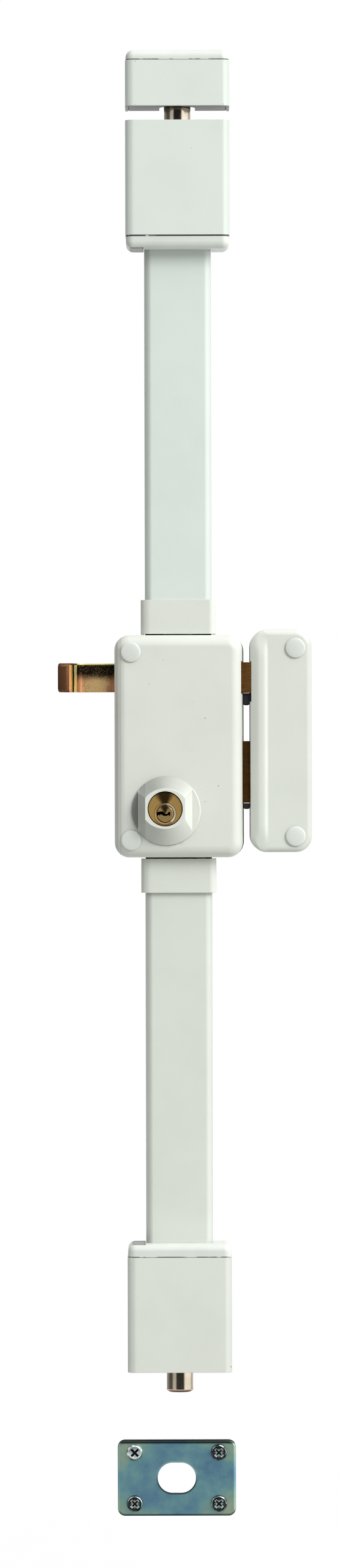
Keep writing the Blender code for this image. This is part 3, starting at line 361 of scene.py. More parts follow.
# %% A finish and its nodes
class Finish:
    """A node tree with a Principled shader, or a world's tree, and the patterns that feed it."""

    def __init__(self, name, constants=None, tree=None):
        if tree is None:
            self.material = bpy.data.materials.new(name)
            self.material.use_nodes = True
            tree = self.material.node_tree
            self.shader = tree.nodes["Principled BSDF"]
            for key, value in (constants or {}).items():
                self.shader.inputs[key].default_value = value
        self.tree = tree
        self.place = self.node("ShaderNodeTexCoord", {}, {}, "Object")

    def node(self, kind, settings, sockets, output=0):
        made = self.tree.nodes.new(kind)
        for key, value in settings.items():
            if key == "stops":
                while len(made.color_ramp.elements) < len(value):
                    made.color_ramp.elements.new(0.5)
                for element, (position, colour) in zip(made.color_ramp.elements, value):
                    element.position = position
                    element.color = (*colour, 1)
            else:
                setattr(made, key, value)
        for key, value in sockets.items():
            if isinstance(value, Signal):
                self.tree.links.new(value.socket, made.inputs[key])
            else:
                made.inputs[key].default_value = value
        return Signal(self, made.outputs[output])

    def part(self, axis):
        """The x, y or z of the place on the piece."""
        return self.node("ShaderNodeSeparateXYZ", {}, {0: self.place}, axis)

    def stretched(self, scales):
        return self.node("ShaderNodeMapping", {}, {"Vector": self.place, "Scale": scales})

    def noise(self, scale, detail=2.0, place=None):
        """Soft noise from about 0 to 1, with this many lumps in a metre."""
        sockets = {"Vector": place or self.place, "Scale": scale, "Detail": detail}
        return self.node("ShaderNodeTexNoise", {}, sockets, "Fac")

    def crystals(self, scale, channel):
        """Small cells, each with its own random value. The channel is Red, Green or Blue."""
        cells = self.node("ShaderNodeTexVoronoi", {}, {"Vector": self.place, "Scale": scale}, "Color")
        return self.node("ShaderNodeSeparateColor", {}, {0: cells}, channel)

    def vector(self, operation, first, second, output=0):
        return self.node("ShaderNodeVectorMath", {"operation": operation}, {0: first, 1: second}, output)

    def ramp(self, value, low, high):
        """0 below low, 1 above high, smooth between. Low may lie above high."""
        settings = {"interpolation_type": "SMOOTHSTEP"}
        if low > high:
            return 1 - self.ramp(value, high, low)
        return self.node(
            "ShaderNodeMapRange", settings, {"Value": value, "From Min": low, "From Max": high}
        )

    def tone(self, value, stops):
        return self.node("ShaderNodeValToRGB", {"stops": stops}, {"Fac": value})

    def mix(self, factor, first, second):
        """Blends two colours. Sockets 6 and 7 of a Mix node are its colours, and output 2 is the result."""
        first, second = [(*c, 1) if isinstance(c, tuple) else c for c in (first, second)]
        return self.node("ShaderNodeMix", {"data_type": "RGBA"}, {0: factor, 6: first, 7: second}, 2)

    def spot(self, centre, radius, edge=0.5):
        """1 inside a round spot on the front, 0 outside it."""
        flat = self.vector("MULTIPLY", self.place, (1, 0, 1))
        away = self.vector("DISTANCE", flat, (centre[0], 0, centre[1]), "Value")
        return self.ramp(away, radius, radius * edge)

    def bump(self, height, distance):
        """Raises the surface by height times distance, in metres."""
        self.feed(Normal=self.node("ShaderNodeBump", {}, {"Distance": distance, "Height": height}))

    def feed(self, **signals):
        for key, signal in signals.items():
            self.tree.links.new(signal.socket, self.shader.inputs[key.replace("_", " ")])


print("finishes ready")

# %% [markdown]
# ## Powder coat and moulded plastic
# The covers are sprayed with a fine powder that melts to an even coat. Up close it has a soft orange-peel
# texture, its gloss varies a little, and years of handling leave a faint grey film and a few dark specks.
# Where the sheet is folded, darker lines run up the edges as painted shade. The collar's cone is painted
# darker on its left half and top, as shade, by a function of its own.

# %% Painted shade on the collar
collar_shade_black = (0.02, 0.03, 0.02)


def paint_collar_shade(coat, body, axis):
    """Paints shade on the collar's cone round its axis, darker on its left half and top, and on its left
    flat, but not on the bright edge between them.
    """
    x, z = coat.part("X") - axis[0], coat.part("Z") - axis[1]
    radius = (x * x + z * z) ** 0.5
    # Painted shade: darker on the left half and the top of the cone, and left of the flat.
    cone_shade = 0.24 * coat.ramp(x / radius, 0.5, -0.6) + 0.3 * coat.ramp(z / radius, 0.35, 0.95)
    cone_shade = cone_shade + 0.12 * coat.ramp(x, -0.0128, -0.0136)
    on_cone = coat.ramp(coat.part("Y"), -0.0459, -0.0455)
    bright_edge = coat.ramp(x, -0.0182, -0.0180) * coat.ramp(x, -0.0173, -0.0176)
    body = coat.mix(cone_shade * on_cone * (1 - bright_edge), body, collar_shade_black)
    # Painted shade on the left flat, which lies in shade.
    on_flat = coat.ramp(x, -0.0179, -0.0182) * coat.ramp(radius, 0.0232, 0.0226)
    return coat.mix(on_flat * 0.56, body, collar_shade_black)


# %% White powder coat
def darker(colour, share):
    return tuple(c * share for c in colour)


def powder_coat(name, colour, specks=(), stains=(), fold_shades=(), collar_axis=None, painted_shade_end=None):
    coat = Finish(name, {"Roughness": 0.34})
    film = coat.noise(28, 4)
    body = coat.mix(coat.ramp(film, 0.35, 0.75) * 0.7, colour, darker(colour, 0.95))
    grain = coat.noise(2600, 1)
    body = coat.mix(coat.ramp(grain, 0.62, 0.8) * 0.1, body, darker(colour, 0.7))
    # Painted shade: darker lines along the folded edges.
    for x, half_width, amount in fold_shades:
        aside = abs(coat.part("X") - x)
        body = coat.mix(coat.ramp(aside, half_width, 0) * amount, body, (0.30, 0.34, 0.30))
    # Painted shade: the strip at the foot of the keep body is darkened as the shade under it.
    if painted_shade_end:
        at_end = coat.ramp(coat.part("Z"), painted_shade_end + 0.0005, painted_shade_end + 0.0002)
        body = coat.mix(at_end * 0.6, body, (0.03, 0.04, 0.025))
    if collar_axis:
        body = paint_collar_shade(coat, body, collar_axis)
    for (x, z), radius in specks:
        body = coat.mix(coat.spot((x, z), radius) * 0.8, body, (0.17, 0.16, 0.14))
    for centre, radius, tint in stains:
        body = coat.mix(coat.spot(centre, radius, 0.1) * 0.55, body, tint)
    peel = coat.noise(850, 2)
    coat.feed(Base_Color=body, Roughness=0.3 + peel * 0.1 + film * 0.06)
    coat.bump(peel + coat.noise(3800, 1) * 0.3, 0.00003)
    return coat.material


print("powder coat ready")

# %% [markdown]
# Specks and stains are given as ((x, z), radius), and fold shades, darker lines of painted shade along the
# folded edges, as (x, half width, amount). Each cover has its own coat, the upper covers a little green and
# the lower channel warm.

# %% Coats of the covers
plain_white, upper_white, case_white = (0.72, 0.75, 0.685), (0.715, 0.775, 0.71), (0.72, 0.745, 0.68)
case_specks = [((0.0266, -0.0266), 0.0005), ((0.0176, -0.0372), 0.0004), ((-0.0111, -0.0778), 0.0005)]
case_specks += [((0.0178, 0.0187), 0.0005), ((-0.0197, 0.0415), 0.0004), ((-0.010, 0.0575), 0.0003)]
case_specks += [((0.0102, 0.0296), 0.0003), ((0.0342, -0.4157), 0.0006)]
case_stains = [((0.0016, -0.0647), 0.0022, (0.66, 0.6, 0.34))]
case_stains += [((-0.0066, -0.0667), 0.0018, (0.68, 0.56, 0.52))]
upper_specks = [((0.0094, 0.4003), 0.0003), ((-0.028, 0.4585), 0.0004), ((0.0324, 0.4577), 0.0003)]
upper_specks += [((-0.028, 0.4298), 0.0003), ((0.0308, 0.4298), 0.0004)]
case_fold_shades = [(-0.0413, 0.0009, 0.34), (-0.0389, 0.0008, 0.24)]
channel_fold_shades = [(-0.0197, 0.0022, 0.25), (0.0225, 0.0035, 0.32)]
bolt_case_fold_shades = [(-0.0308, 0.0024, 0.2), (0.0345, 0.0035, 0.32)]
keep_fold_shade = (0.0892, 0.0045, 0.3)
sleeve_fold_shade = (-0.0209, 0.0026, 0.2)
cylinder_axis = (-0.009081, -0.041891)
plug_axis = (-0.009081, -0.045191)
top_keep_foot = 0.4287
case_coat = powder_coat("crease_shaded_powder_coat", case_white, case_specks, case_stains, case_fold_shades)
side_keep_coat = powder_coat("white_powder_coat", plain_white, fold_shades=[keep_fold_shade])
sleeve_coat = powder_coat("sleeve_powder_coat", plain_white, fold_shades=[sleeve_fold_shade])
low_case_coat = powder_coat("low_case_powder_coat", plain_white, case_specks, fold_shades=bolt_case_fold_shades)
upper_coat = powder_coat("greenish_powder_coat", upper_white, upper_specks, fold_shades=bolt_case_fold_shades)
top_keep_coat = powder_coat(
    "keep_powder_coat", upper_white, upper_specks, fold_shades=bolt_case_fold_shades, painted_shade_end=top_keep_foot
)
channel_coat = powder_coat("cool_powder_coat", (0.70, 0.765, 0.715), fold_shades=channel_fold_shades)
warm_coat = powder_coat("warm_powder_coat", (0.70, 0.735, 0.672), fold_shades=channel_fold_shades)
# Painted shade: a dark coat for the keep bracket, whose lower face lies in shade.
shaded_coat = powder_coat("shaded_powder_coat", (0.145, 0.172, 0.118))
collar_coat = powder_coat("shaded_collar_powder_coat", case_white, collar_axis=cylinder_axis)
print("coats:", case_coat.name, side_keep_coat.name, upper_coat.name, channel_coat.name)


# %% White and black moulded plastic
def moulded_plastic(name, colour, roughness, seam_shades=(), shades=()):
    """The mould leaves a fine satin grain and slow sink marks. Seams get a broken dark line of painted shade,
    given as (z, reach, amount, how broken it is), and shades given as (z, reach) paint shade on the left of
    an end."""
    plastic = Finish(name, {"Roughness": roughness})
    cloud = plastic.noise(45, 3)
    body = plastic.mix(plastic.ramp(cloud, 0.3, 0.8), colour, darker(colour, 0.92))
    grain = plastic.noise(3200, 2)
    # Painted shade: a broken dark line along each seam.
    for z, reach, amount, broken in seam_shades:
        aside = abs(plastic.part("Z") - z)
        seam_shade = plastic.ramp(plastic.noise(90, 3), broken, broken + 0.08) * amount
        body = plastic.mix(plastic.ramp(aside, reach, reach * 0.6) * seam_shade, body, (0.03, 0.03, 0.025))
    # Painted shade on the left of each end, darkest at the edge.
    for z, reach in shades:
        at_left = plastic.ramp(plastic.part("X"), -0.0225, -0.0232)
        at_end = plastic.ramp(abs(plastic.part("Z") - z), reach, reach * 0.4)
        edge = plastic.ramp(plastic.part("X"), -0.0238, -0.0234)
        body = plastic.mix(at_left * at_end * (0.72 + 0.25 * edge), body, (0.03, 0.04, 0.03))
    plastic.feed(Base_Color=body, Roughness=roughness - 0.06 + grain * 0.14)
    plastic.bump(grain * 0.4 + cloud * 2, 0.00003)
    return plastic.material


white_pigment = (0.71, 0.745, 0.69)
cap_seam_shades = [(0.3422, 0.0009, 0.95, 0.38), (-0.3422, 0.0006, 0.7, 0.45), (0.4600, 0.0006, 0.7, 0.45)]
cap_shades = [(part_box("upper_end_cap")[0].z, 0.001), (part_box("lower_end_cap")[1].z, 0.0008)]
white_plastic = moulded_plastic("white_moulded_plastic", white_pigment, 0.36)
cap_plastic = moulded_plastic("seam_shaded_moulded_plastic", white_pigment, 0.36, cap_seam_shades, cap_shades)
black_plastic = moulded_plastic("black_moulded_plastic", (0.012, 0.012, 0.014), 0.42)
print("plastics:", white_plastic.name, cap_plastic.name, black_plastic.name)

# %% [markdown]
# ## Metals
# Bare metal shows what surrounds it, so its detail is in roughness and bump: brush lines, turning marks,
# the crystals of a zinc layer. Colour varies where a plating, a passivation or tarnish does, and where
# reflection, highlights and shade are painted in.


# %% Plain and dark steel
def plated_steel(name, colour, roughness, metallic, streaks=(1, 1, 1)):
    """Rolled and plated sheet: long faint streaks, cloudy plating and a few dull stains."""
    steel = Finish(name, {"Metallic": metallic, "Roughness": roughness})
    cloud = steel.noise(90, 4)
    fine = steel.noise(900, 3, steel.stretched(streaks))
    body = steel.mix(steel.ramp(cloud, 0.35, 0.7), colour, darker(colour, 0.72))
    bright = tuple(min(1, c * 1.5) for c in colour)
    body = steel.mix(steel.ramp(fine, 0.55, 0.75) * 0.3, body, bright)
    steel.feed(Base_Color=body, Roughness=roughness - 0.12 + fine * 0.16 + cloud * 0.1)
    steel.bump(fine, 0.00002)
    return steel.material


dark_steel = plated_steel("dark_plated_steel", (0.06, 0.062, 0.06), 0.45, 0.7)
zinc_steel = plated_steel("zinc_plated_steel", (0.52, 0.53, 0.52), 0.36, 1.0, (1, 1, 0.06))
gear_steel = plated_steel("oiled_steel", (0.40, 0.40, 0.39), 0.33, 1.0)
print("steels:", dark_steel.name, zinc_steel.name, gear_steel.name)


# %% Nickel on the round bolts
nickel = Finish("bronzed_nickel", {"Metallic": 1.0})
drawn = nickel.noise(1400, 2, nickel.stretched((1, 1, 0.03)))
cloud = nickel.noise(70, 3)
tint = nickel.mix(nickel.ramp(cloud, 0.35, 0.7), (0.72, 0.65, 0.52), (0.56, 0.48, 0.37))
worn_tip = nickel.ramp(nickel.part("Z"), -0.4318, -0.4326)
tint = nickel.mix(worn_tip * 0.7, tint, (0.85, 0.42, 0.26))
nickel.feed(Base_Color=tint, Roughness=0.04 + drawn * 0.1 + cloud * 0.06)
nickel.bump(drawn, 0.00001)
print("nickel:", nickel.material.name)

# %% [markdown]
# The brass is brushed in circles. Noise that is read at (radius, x, z) with the radius stretched the most
# gives fine rings. Dark wedges round the axis are painted reflection of the turned face, dark rings are
# painted shade in the gaps round the cylinder and the plug, and the countersink round the plug is matt, with
# painted shade on its left and a painted highlight on its right.


# %% Countersink round the plug
# Painted shade on the countersink's left, a painted highlight on its right, and a dark line of painted shade
# round its outer edge.
def sink_tones(brass, body, axis):
    x, z = brass.part("X") - axis[0], brass.part("Z") - axis[1]
    radius = (x * x + z * z) ** 0.5
    in_sink = brass.ramp(radius, 0.0072, 0.00705) * brass.ramp(radius, 0.0055, 0.0056)
    lit = brass.ramp(x / radius + 0.25 * (z / radius), 0.25, 0.6)
    body = brass.mix(in_sink, body, brass.mix(lit, (0.34, 0.21, 0.08), (1.0, 0.84, 0.62)))
    brass.feed(Metallic=1 - in_sink)
    outer_shade_line = brass.ramp(abs(radius - 0.0073), 0.0003, 0.0001)
    return brass.mix(outer_shade_line * 0.7, body, (0.05, 0.03, 0.012))


# %% Brass, brushed round its axis
def brushed_brass(name, axis, colour, roughness, shaded_below=None, wedges=(), rings=(), sink=None):
    """Wedges of painted dark reflection are (x share, z share, low, high, amount), rings of painted shade
    (radius, half width, colour).
    """
    brass = Finish(name, {"Metallic": 1.0})
    flat = brass.vector("MULTIPLY", brass.vector("SUBTRACT", brass.place, (axis[0], 0, axis[1])), (1, 0, 1))
    radius = brass.vector("LENGTH", flat, (0, 0, 0), "Value")
    x, z = [brass.node("ShaderNodeSeparateXYZ", {}, {0: flat}, letter) for letter in ("X", "Z")]
    curl = brass.node("ShaderNodeCombineXYZ", {}, {"X": radius * 2600, "Y": x * 90, "Z": z * 90})
    lines = brass.noise(1, 2, curl)
    cloud = brass.noise(220, 3)
    body = brass.mix(brass.ramp(lines, 0.35, 0.7) * 0.35, colour, darker(colour, 0.55))
    body = brass.mix(brass.ramp(cloud, 0.55, 0.8) * 0.35, body, (0.30, 0.17, 0.07))
    # Painted reflection: dark wedges where the turned face would mirror the dark room.
    for sideways, upwards, low, high, amount in wedges:
        along = (x * sideways + z * upwards) / radius
        body = brass.mix(brass.ramp(along, low, high) * amount, body, (0.03, 0.018, 0.007))
    # Painted shade: dark rings along the gaps.
    for ring, half_width, tint in rings:
        on_ring = brass.ramp(abs(radius - ring), half_width, half_width * 0.3)
        body = brass.mix(on_ring, body, tint)
    # Painted shade: faces behind the plug's front, in its keyway, are near black.
    if shaded_below:
        inside = brass.ramp(brass.part("Y"), -shaded_below, 0.0006 - shaded_below)
        body = brass.mix(inside, body, (0.006, 0.005, 0.004))
    if sink:
        body = sink_tones(brass, body, sink)
    brass.feed(Base_Color=body, Roughness=roughness + lines * 0.16)
    brass.bump(lines, 0.000025)
    return brass.material


# Dark wedges of painted reflection, and dark rings of painted shade in the gaps round the cylinder and the
# plug.
turning_reflection_wedges = [(-0.05, 1, 0.72, 0.98, 0.95), (-0.1, -1, 0.75, 1.0, 0.45)]
cylinder_gap_shade = [(0.0114, 0.0004, (0.01, 0.008, 0.005))]
cylinder_brass = brushed_brass(
    "cylinder_brass", cylinder_axis, (0.93, 0.59, 0.19), 0.34, None, turning_reflection_wedges, cylinder_gap_shade, plug_axis
)
plug_gap_shade = [(0.0055, 0.0002, (0.10, 0.06, 0.022))]
plug_brass = brushed_brass("plug_brass", plug_axis, (0.80, 0.55, 0.22), 0.32, 0.0443, turning_reflection_wedges[:1], plug_gap_shade)
gear_brass = brushed_brass("gear_brass", plug_axis, (0.46, 0.34, 0.15), 0.3)
print("brasses:", cylinder_brass.name, plug_brass.name, gear_brass.name)


# %% Brushed and passivated bolts
def brushed_bolt(name, colour):
    """The latch and the deadbolt are linished along their length, then passivated brown and gold."""
    bolt = Finish(name, {"Metallic": 1.0})
    lines = bolt.noise(2200, 3, bolt.stretched((0.04, 0.2, 1)))
    cloud = bolt.noise(120, 3)
    body = bolt.mix(bolt.ramp(lines, 0.3, 0.75), darker(colour, 0.5), colour)
    body = bolt.mix(bolt.ramp(cloud, 0.45, 0.75) * 0.5, body, (0.22, 0.10, 0.05))
    lower_bolt = bolt.ramp(bolt.part("Z"), 0.02, 0.0)
    body = bolt.mix(0.2 + 0.55 * lower_bolt, body, (0.10, 0.045, 0.012))
    bolt.feed(Base_Color=body, Roughness=0.24 + lines * 0.2)
    bolt.bump(lines, 0.00003)
    return bolt.material


bolt_finish = brushed_bolt("brushed_passivated_steel", (0.78, 0.36, 0.10))
print("bolt finish:", bolt_finish.name)

# %% [markdown]
# The pull is the showpiece: a thick yellow passivation over coarse zinc crystals. Small cells get a random
# brightness and roughness, and a few get a painted glint. Much of its colour is painted reflection: nearly
# black along the upper half of the bar as a painted dark reflection, red and gold passivation below it,
# painted orange and yellow highlight stripes where the bend starts and a yellow line along the top edge, and
# a smooth dark brown finger tab, partly painted shade.

# %% Colours of the pull, lighter or darker with each crystal
pull_low, pull_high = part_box("pull_handle")
tab_edge = pull_low.x + 0.0078
pull = Finish("sparkling_passivated_zinc", {"Metallic": 1.0})
crystal = pull.crystals(4200, "Red")
glint = pull.crystals(5200, "Green")
# Painted reflection: the near-black tone of the dark reflection and of the dark line at the bend.
dark = pull.mix(crystal, (0.003, 0.002, 0.001), (0.026, 0.016, 0.009))
gold = pull.mix(crystal, (0.50, 0.31, 0.13), (0.88, 0.64, 0.30))
red = pull.mix(crystal, (0.40, 0.17, 0.08), (0.80, 0.42, 0.22))
# Painted highlight colours: yellow for the top edge and the bend, orange for the bend's first stripe.
yellow = pull.mix(crystal, (0.90, 0.70, 0.20), (1.0, 0.95, 0.50))
orange = pull.mix(crystal, (0.62, 0.28, 0.07), (1.0, 0.62, 0.20))
tab_tone = pull.mix(pull.noise(90, 3), (0.10, 0.045, 0.02), (0.24, 0.11, 0.06))
# Painted shade: a darker copy of the tab's brown, at the ends of the bend stripes.
tab_shade = pull.mix(0.5, tab_tone, (0.02, 0.01, 0.005))
print("pull: tab ends at x =", round(tab_edge, 4))

# %% Bar of the pull, painted dark reflection above and gold and red below
wander = pull.noise(160, 3) - 0.5
middle_z = (pull_low.z + 0.0087 + pull_high.z) / 2
off_gold = abs(pull.part("X") + 0.0545 + wander * 0.02)
lower_half = pull.mix(pull.ramp(off_gold, 0.012, 0.004), red, gold)
dither = pull.part("Z") + wander * 0.005 + (crystal - 0.5) * 0.0035
# Painted dark reflection over the upper half of the bar.
bar_tone = pull.mix(pull.ramp(dither, middle_z + 0.0030, middle_z - 0.0030), dark, lower_half)
# Painted highlight along the top edge.
painted_top_edge = pull.ramp(pull.part("Z"), pull_high.z - 0.0012, pull_high.z - 0.0007)
bar_tone = pull.mix(painted_top_edge, bar_tone, yellow)
print("bar: dark above z =", round(middle_z, 4))

# %% Painted highlight stripes at the bend, the tab and painted glints
across = pull.part("X") + wander * 0.0012
# Painted highlight and shade stripes where the bend starts.
bend_tone = pull.mix(pull.ramp(across, tab_edge + 0.0017, tab_edge + 0.0021), orange, dark)
bend_tone = pull.mix(pull.ramp(across, tab_edge + 0.0030, tab_edge + 0.0033), bend_tone, yellow)
inset = pull.ramp(pull.part("Z"), pull_high.z - 0.0008, pull_high.z - 0.0014)
bend_tone = pull.mix(inset, tab_shade, bend_tone)
tone = pull.mix(pull.ramp(across, tab_edge + 0.0048, tab_edge + 0.0051), bend_tone, bar_tone)
on_tab = pull.ramp(pull.part("X"), tab_edge + 0.00015, tab_edge - 0.00015)
# Painted glints on a few crystals.
painted_glints = pull.ramp(glint, 0.95, 0.99) * (1 - on_tab)
tone = pull.mix(painted_glints * 0.6, pull.mix(on_tab, tone, tab_tone), (1.0, 0.80, 0.42))
pull.feed(Base_Color=tone, Roughness=0.30 + crystal * 0.25 * (1 - on_tab) + on_tab * 0.2)
pull.bump((crystal + glint * 0.5) * (1 - on_tab) + pull.noise(700, 2) * 0.15, 0.00006)
pull_finish = pull.material
print("pull finish:", pull_finish.name)

# %% [markdown]
# ## Pressed main cover
# The cover is a deep drawn box. A block gets its four corners rounded, then the rim of its face, and loses
# its back before the skin is thickened inwards to a 2 mm wall. The openings are carved last so that their
# edges stay sharp, as a press leaves them.

# %% Skin of the main cover
cover_wall, running_gap = 0.002, 0.0006
cover_low, cover_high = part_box("case_cover")
cover = add_block("lock_cover", cover_low, cover_high)
round_edges(cover, 0.010, lambda p: runs_along(p, 1), 12)
round_edges(cover, 0.0079, lambda p: same(p, 1, cover_low.y), 10)
remove_faces(cover, lambda p: same(p, 1, cover_high.y))
thicken(cover, cover_wall)
print("skin of the main cover:", len(cover.data.polygons), "faces")


# %% Openings and screw pillars
def opening(name, node, x_range, z_range=None):
    """Block that clears a moving piece by the running gap, unless its height is given."""
    low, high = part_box(node)
    clearance = Vector((running_gap, running_gap, running_gap))
    low, high = low - clearance, high + clearance
    low.x, high.x = x_range
    if z_range:
        low.z, high.z = z_range
    return add_block(name, low, high)


wall_left = (cover_low.x - 0.002, cover_low.x + 0.004)
wall_right = (cover_high.x - 0.004, cover_high.x + 0.002)
carve(
    cover,
    opening("latch_window", "latch_bolt", wall_right),
    opening("deadbolt_window", "deadbolt", wall_right, (-0.0386, 0.004)),
    add_block("pull_window", (wall_left[0], -0.0236, 0.03575), (wall_left[1], -0.0174, 0.05625)),
    add_block("upper_rod_window", (-0.0187, -0.0149, 0.0705), (0.0187, 0.0, 0.0765)),
    add_block("lower_rod_window", (-0.0187, -0.0149, -0.0765), (0.0187, 0.0, -0.0705)),
    add_pin("cylinder_window", cylinder_axis, 0.0123, -0.036, -0.030, vertices=96),
)
cap_x, cap_z = -0.032, 0.063
screw_bore, counterbore, pillar = 0.00255, 0.005, 0.0066
for z in (cap_z, -cap_z):
    carve(cover, add_pin("screw_pillar", (cap_x, z), pillar, -0.033, -0.0028), operation="UNION")
    carve(
        cover,
        add_pin("screw_bore", (cap_x, z), screw_bore, -0.036, -0.0008),
        add_pin("screw_counterbore", (cap_x, z), counterbore, -0.036, -0.028),
    )
complete(cover, "lock_frame", "case_cover", case_coat)

# %% [markdown]
# ## Back plates
# Both back plates are plain blanked steel that shows as a thin dark line beside the covers. From behind
# they are most of what is seen, so they get their arbor, screw and mounting holes. The case's plate has a
# tongue at each end that reaches into the sleeve and closes the slit between sleeve and case.


# %% Blanked plates with holes
def blanked_plate(name, node, corner, holes, tongues=()):
    low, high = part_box(node)
    plate = add_block(name, low, high)
    round_edges(plate, corner, lambda p: runs_along(p, 1), 10)
    for x_low, x_high, z_low, z_high in tongues:
        tongue = add_block("tongue", (x_low, low.y, z_low), (x_high, high.y, z_high))
        carve(plate, tongue, operation="UNION")
    for x, z, radius in holes:
        carve(plate, add_pin("punch", (x, z), radius, low.y - 0.002, high.y + 0.002, vertices=32))
    soften(plate, 0.00025, 60)
    complete(plate, "lock_frame", node, dark_steel)


pinion_axis, reduction_axis, post_axis = (0, -0.014), (-0.014314, -0.027968), (-0.025, 0.03085)
arbor_holes = [(*pinion_axis, 0.0033), (*reduction_axis, 0.0023), (*plug_axis, 0.0055), (*post_axis, 0.0033)]
fixing_holes = [(sx * 0.032, sz * 0.031, 0.0025) for sx in (-1, 1) for sz in (-1, 1)]
case_screw_holes = [(cap_x, cap_z, screw_bore), (cap_x, -cap_z, screw_bore)]
keep_cap_x, keep_cap_z = 0.0784, (0.0657, -0.0605)
keep_screw_holes = [(keep_cap_x, z, screw_bore) for z in keep_cap_z]
sleeve_tongues = [(-0.0224, 0.0224, 0.07, 0.077), (-0.0224, 0.0224, -0.077, -0.07)]
case_holes = arbor_holes + fixing_holes + case_screw_holes
blanked_plate("lock_back_plate", "case_back_plate", 0.010, case_holes, sleeve_tongues)
blanked_plate("keep_back_plate", "side_keep_back_plate", 0.011, keep_screw_holes)

# %% [markdown]
# ## Domed screw caps
# Each cap is a small moulded button. It is turned from a short profile: a stem that plugs the counterbore,
# a crisp rim, and a dome so shallow that it only shows by its highlight.

# %% Four caps from one profile
cap_profile = [(4.7, -2.3), (4.7, 0), (6.6, 0), (6.7, 0.1), (6.7, 0.34), (6.62, 0.62), (6.4, 0.86)]
cap_profile += [(5.9, 1.06), (5.0, 1.24), (3.8, 1.37), (2.4, 1.45), (1.0, 1.49), (0.2, 1.5)]
dome, keep_cap_sink = 0.0015, 0.0014


def screw_cap(node):
    low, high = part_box(node)
    centre = ((low.x + high.x) / 2, (low.z + high.z) / 2)
    rim = -low.y - dome - (keep_cap_sink if "keep" in node else 0)
    cap = turn(f"{node}_button", centre, [(r / 1000, rim + d / 1000) for r, d in cap_profile], 64)
    complete(cap, "lock_frame", node, white_plastic)


for node in ("upper_case_cap", "lower_case_cap", "upper_keep_cap", "lower_keep_cap"):
    screw_cap(node)

# %% [markdown]
# ## Collar, cylinder and plug
# The collar is a leaning cone: its foot is wider and sits a little off the cylinder's axis, and its rim is
# a little squat. Flats are milled at the left and right, and each ends in a step near the foot. The
# cylinder sits in it, with its plug below the centre in a small countersink.

# %% Collar
axis_x, axis_z = cylinder_axis
collar_rings = []
for share, radius, depth in (
    (0, 0.0231, 0.0343), (0, 0.0231, 0.0353), (0.01, 0.0229, 0.0357), (0.08, 0.0225, 0.0362),
    (0.95, 0.0162, 0.0454), (1, 0.0156, 0.046),
):
    centre = (axis_x + 0.0008 * (1 - share), axis_z - 0.0012 * (1 - share))
    squat = 1 - 0.147 * share
    outline = [(x, centre[1] + (z - centre[1]) * squat) for x, z in circle(centre, radius, 128)]
    collar_rings.append([(x, -depth, z) for x, z in outline])
collar = loft("cylinder_collar_cone", collar_rings)
flat_section = [(0.0128, 0.047), (0.0177, 0.0373), (0.0181, 0.0362), (0.026, 0.0362), (0.026, 0.047)]
for side in (-1, 1):
    section = [(axis_x + side * x, depth) for x, depth in flat_section]
    carve(collar, bar("flat_cutter", section, axis_z - 0.03, axis_z + 0.03))
carve(collar, add_pin("collar_bore", cylinder_axis, 0.01175, -0.05, -0.03, vertices=96))
soften(collar, 0.0003, 14)
complete(collar, "lock_frame", "cylinder_collar", collar_coat, 20)

# %% Cylinder body
cylinder = turn(
    "brass_cylinder", cylinder_axis,
    [(0.0115, 0.015), (0.0115, 0.0446), (0.01145, 0.0448), (0.0113, 0.04495), (0.0111, 0.045)],
)
carve(
    cylinder,
    add_pin("plug_bore", plug_axis, 0.0058, -0.05, -0.01, vertices=64),
    turn("countersink", plug_axis, [(0.0038, 0.0416), (0.0058, 0.0436), (0.00715, 0.045), (0.00915, 0.047)]),
)
complete(cylinder, "lock_frame", "cylinder_body", cylinder_brass)

# %% Plug and its flat keyway
plug_profile = [(0.003, 0.0029), (0.003, 0.0153), (0.0055, 0.0153), (0.0055, 0.0443), (0.0053, 0.0446)]
plug = turn("brass_plug", plug_axis, plug_profile + [(0.0051, 0.0447)])
keyway = [(-6.2, 1.41), (-4.3, 1.2), (-3.9, 1.53), (-1.2, 1.65), (-0.95, 0.94), (0.4, -0.24), (1.4, 0)]
keyway += [(2.5, 1.41), (3.4, 1.18), (3.4, -1.41), (1.9, -0.94), (1.15, -1.41), (-0.95, -1.41), (-1.9, -0.94)]
keyway += [(-3.1, -0.24), (-3.3, -1.2), (-3.9, -1.06), (-4.26, -0.47), (-4.95, -1.41), (-6.2, -1.5)]
keyway = [(plug_axis[0] + x / 1000, plug_axis[1] + z / 1000) for x, z in keyway]
carve(plug, slab("keyway_cutter", keyway, 0.0247, 0.0467))
soften(plug, 0.00012, 50)
complete(plug, "plug_body", "cylinder_plug", plug_brass)

# %% [markdown]
# ## Pull, latch bolt and deadbolt
# The pull is a flat bar whose end is bent forward into a finger tab that leans away from the case. It is
# one section along X, extruded over the bar's height, with the tab's own corners rounded afterwards.

# %% Pull
bend, bar_back, bar_front, tab_front = 0.005, 0.018, 0.023, 0.038
end_x, foot = pull_low.x, tab_edge + bend
section = [(pull_high.x, bar_back), (pull_high.x, bar_front)]
for i in range(13):
    a = 0.5 * math.pi * i / 12
    section.append((foot + bend * (1 - math.sin(a)), bar_front + bend * (1 - math.cos(a))))
section += [(tab_edge, tab_front), (end_x, tab_front), (end_x, 0.028), (end_x + 0.0015, 0.0232)]
section += [(end_x + bend, bar_back)]
handle = bar("passivated_pull", section, 0.03635, 0.05565)


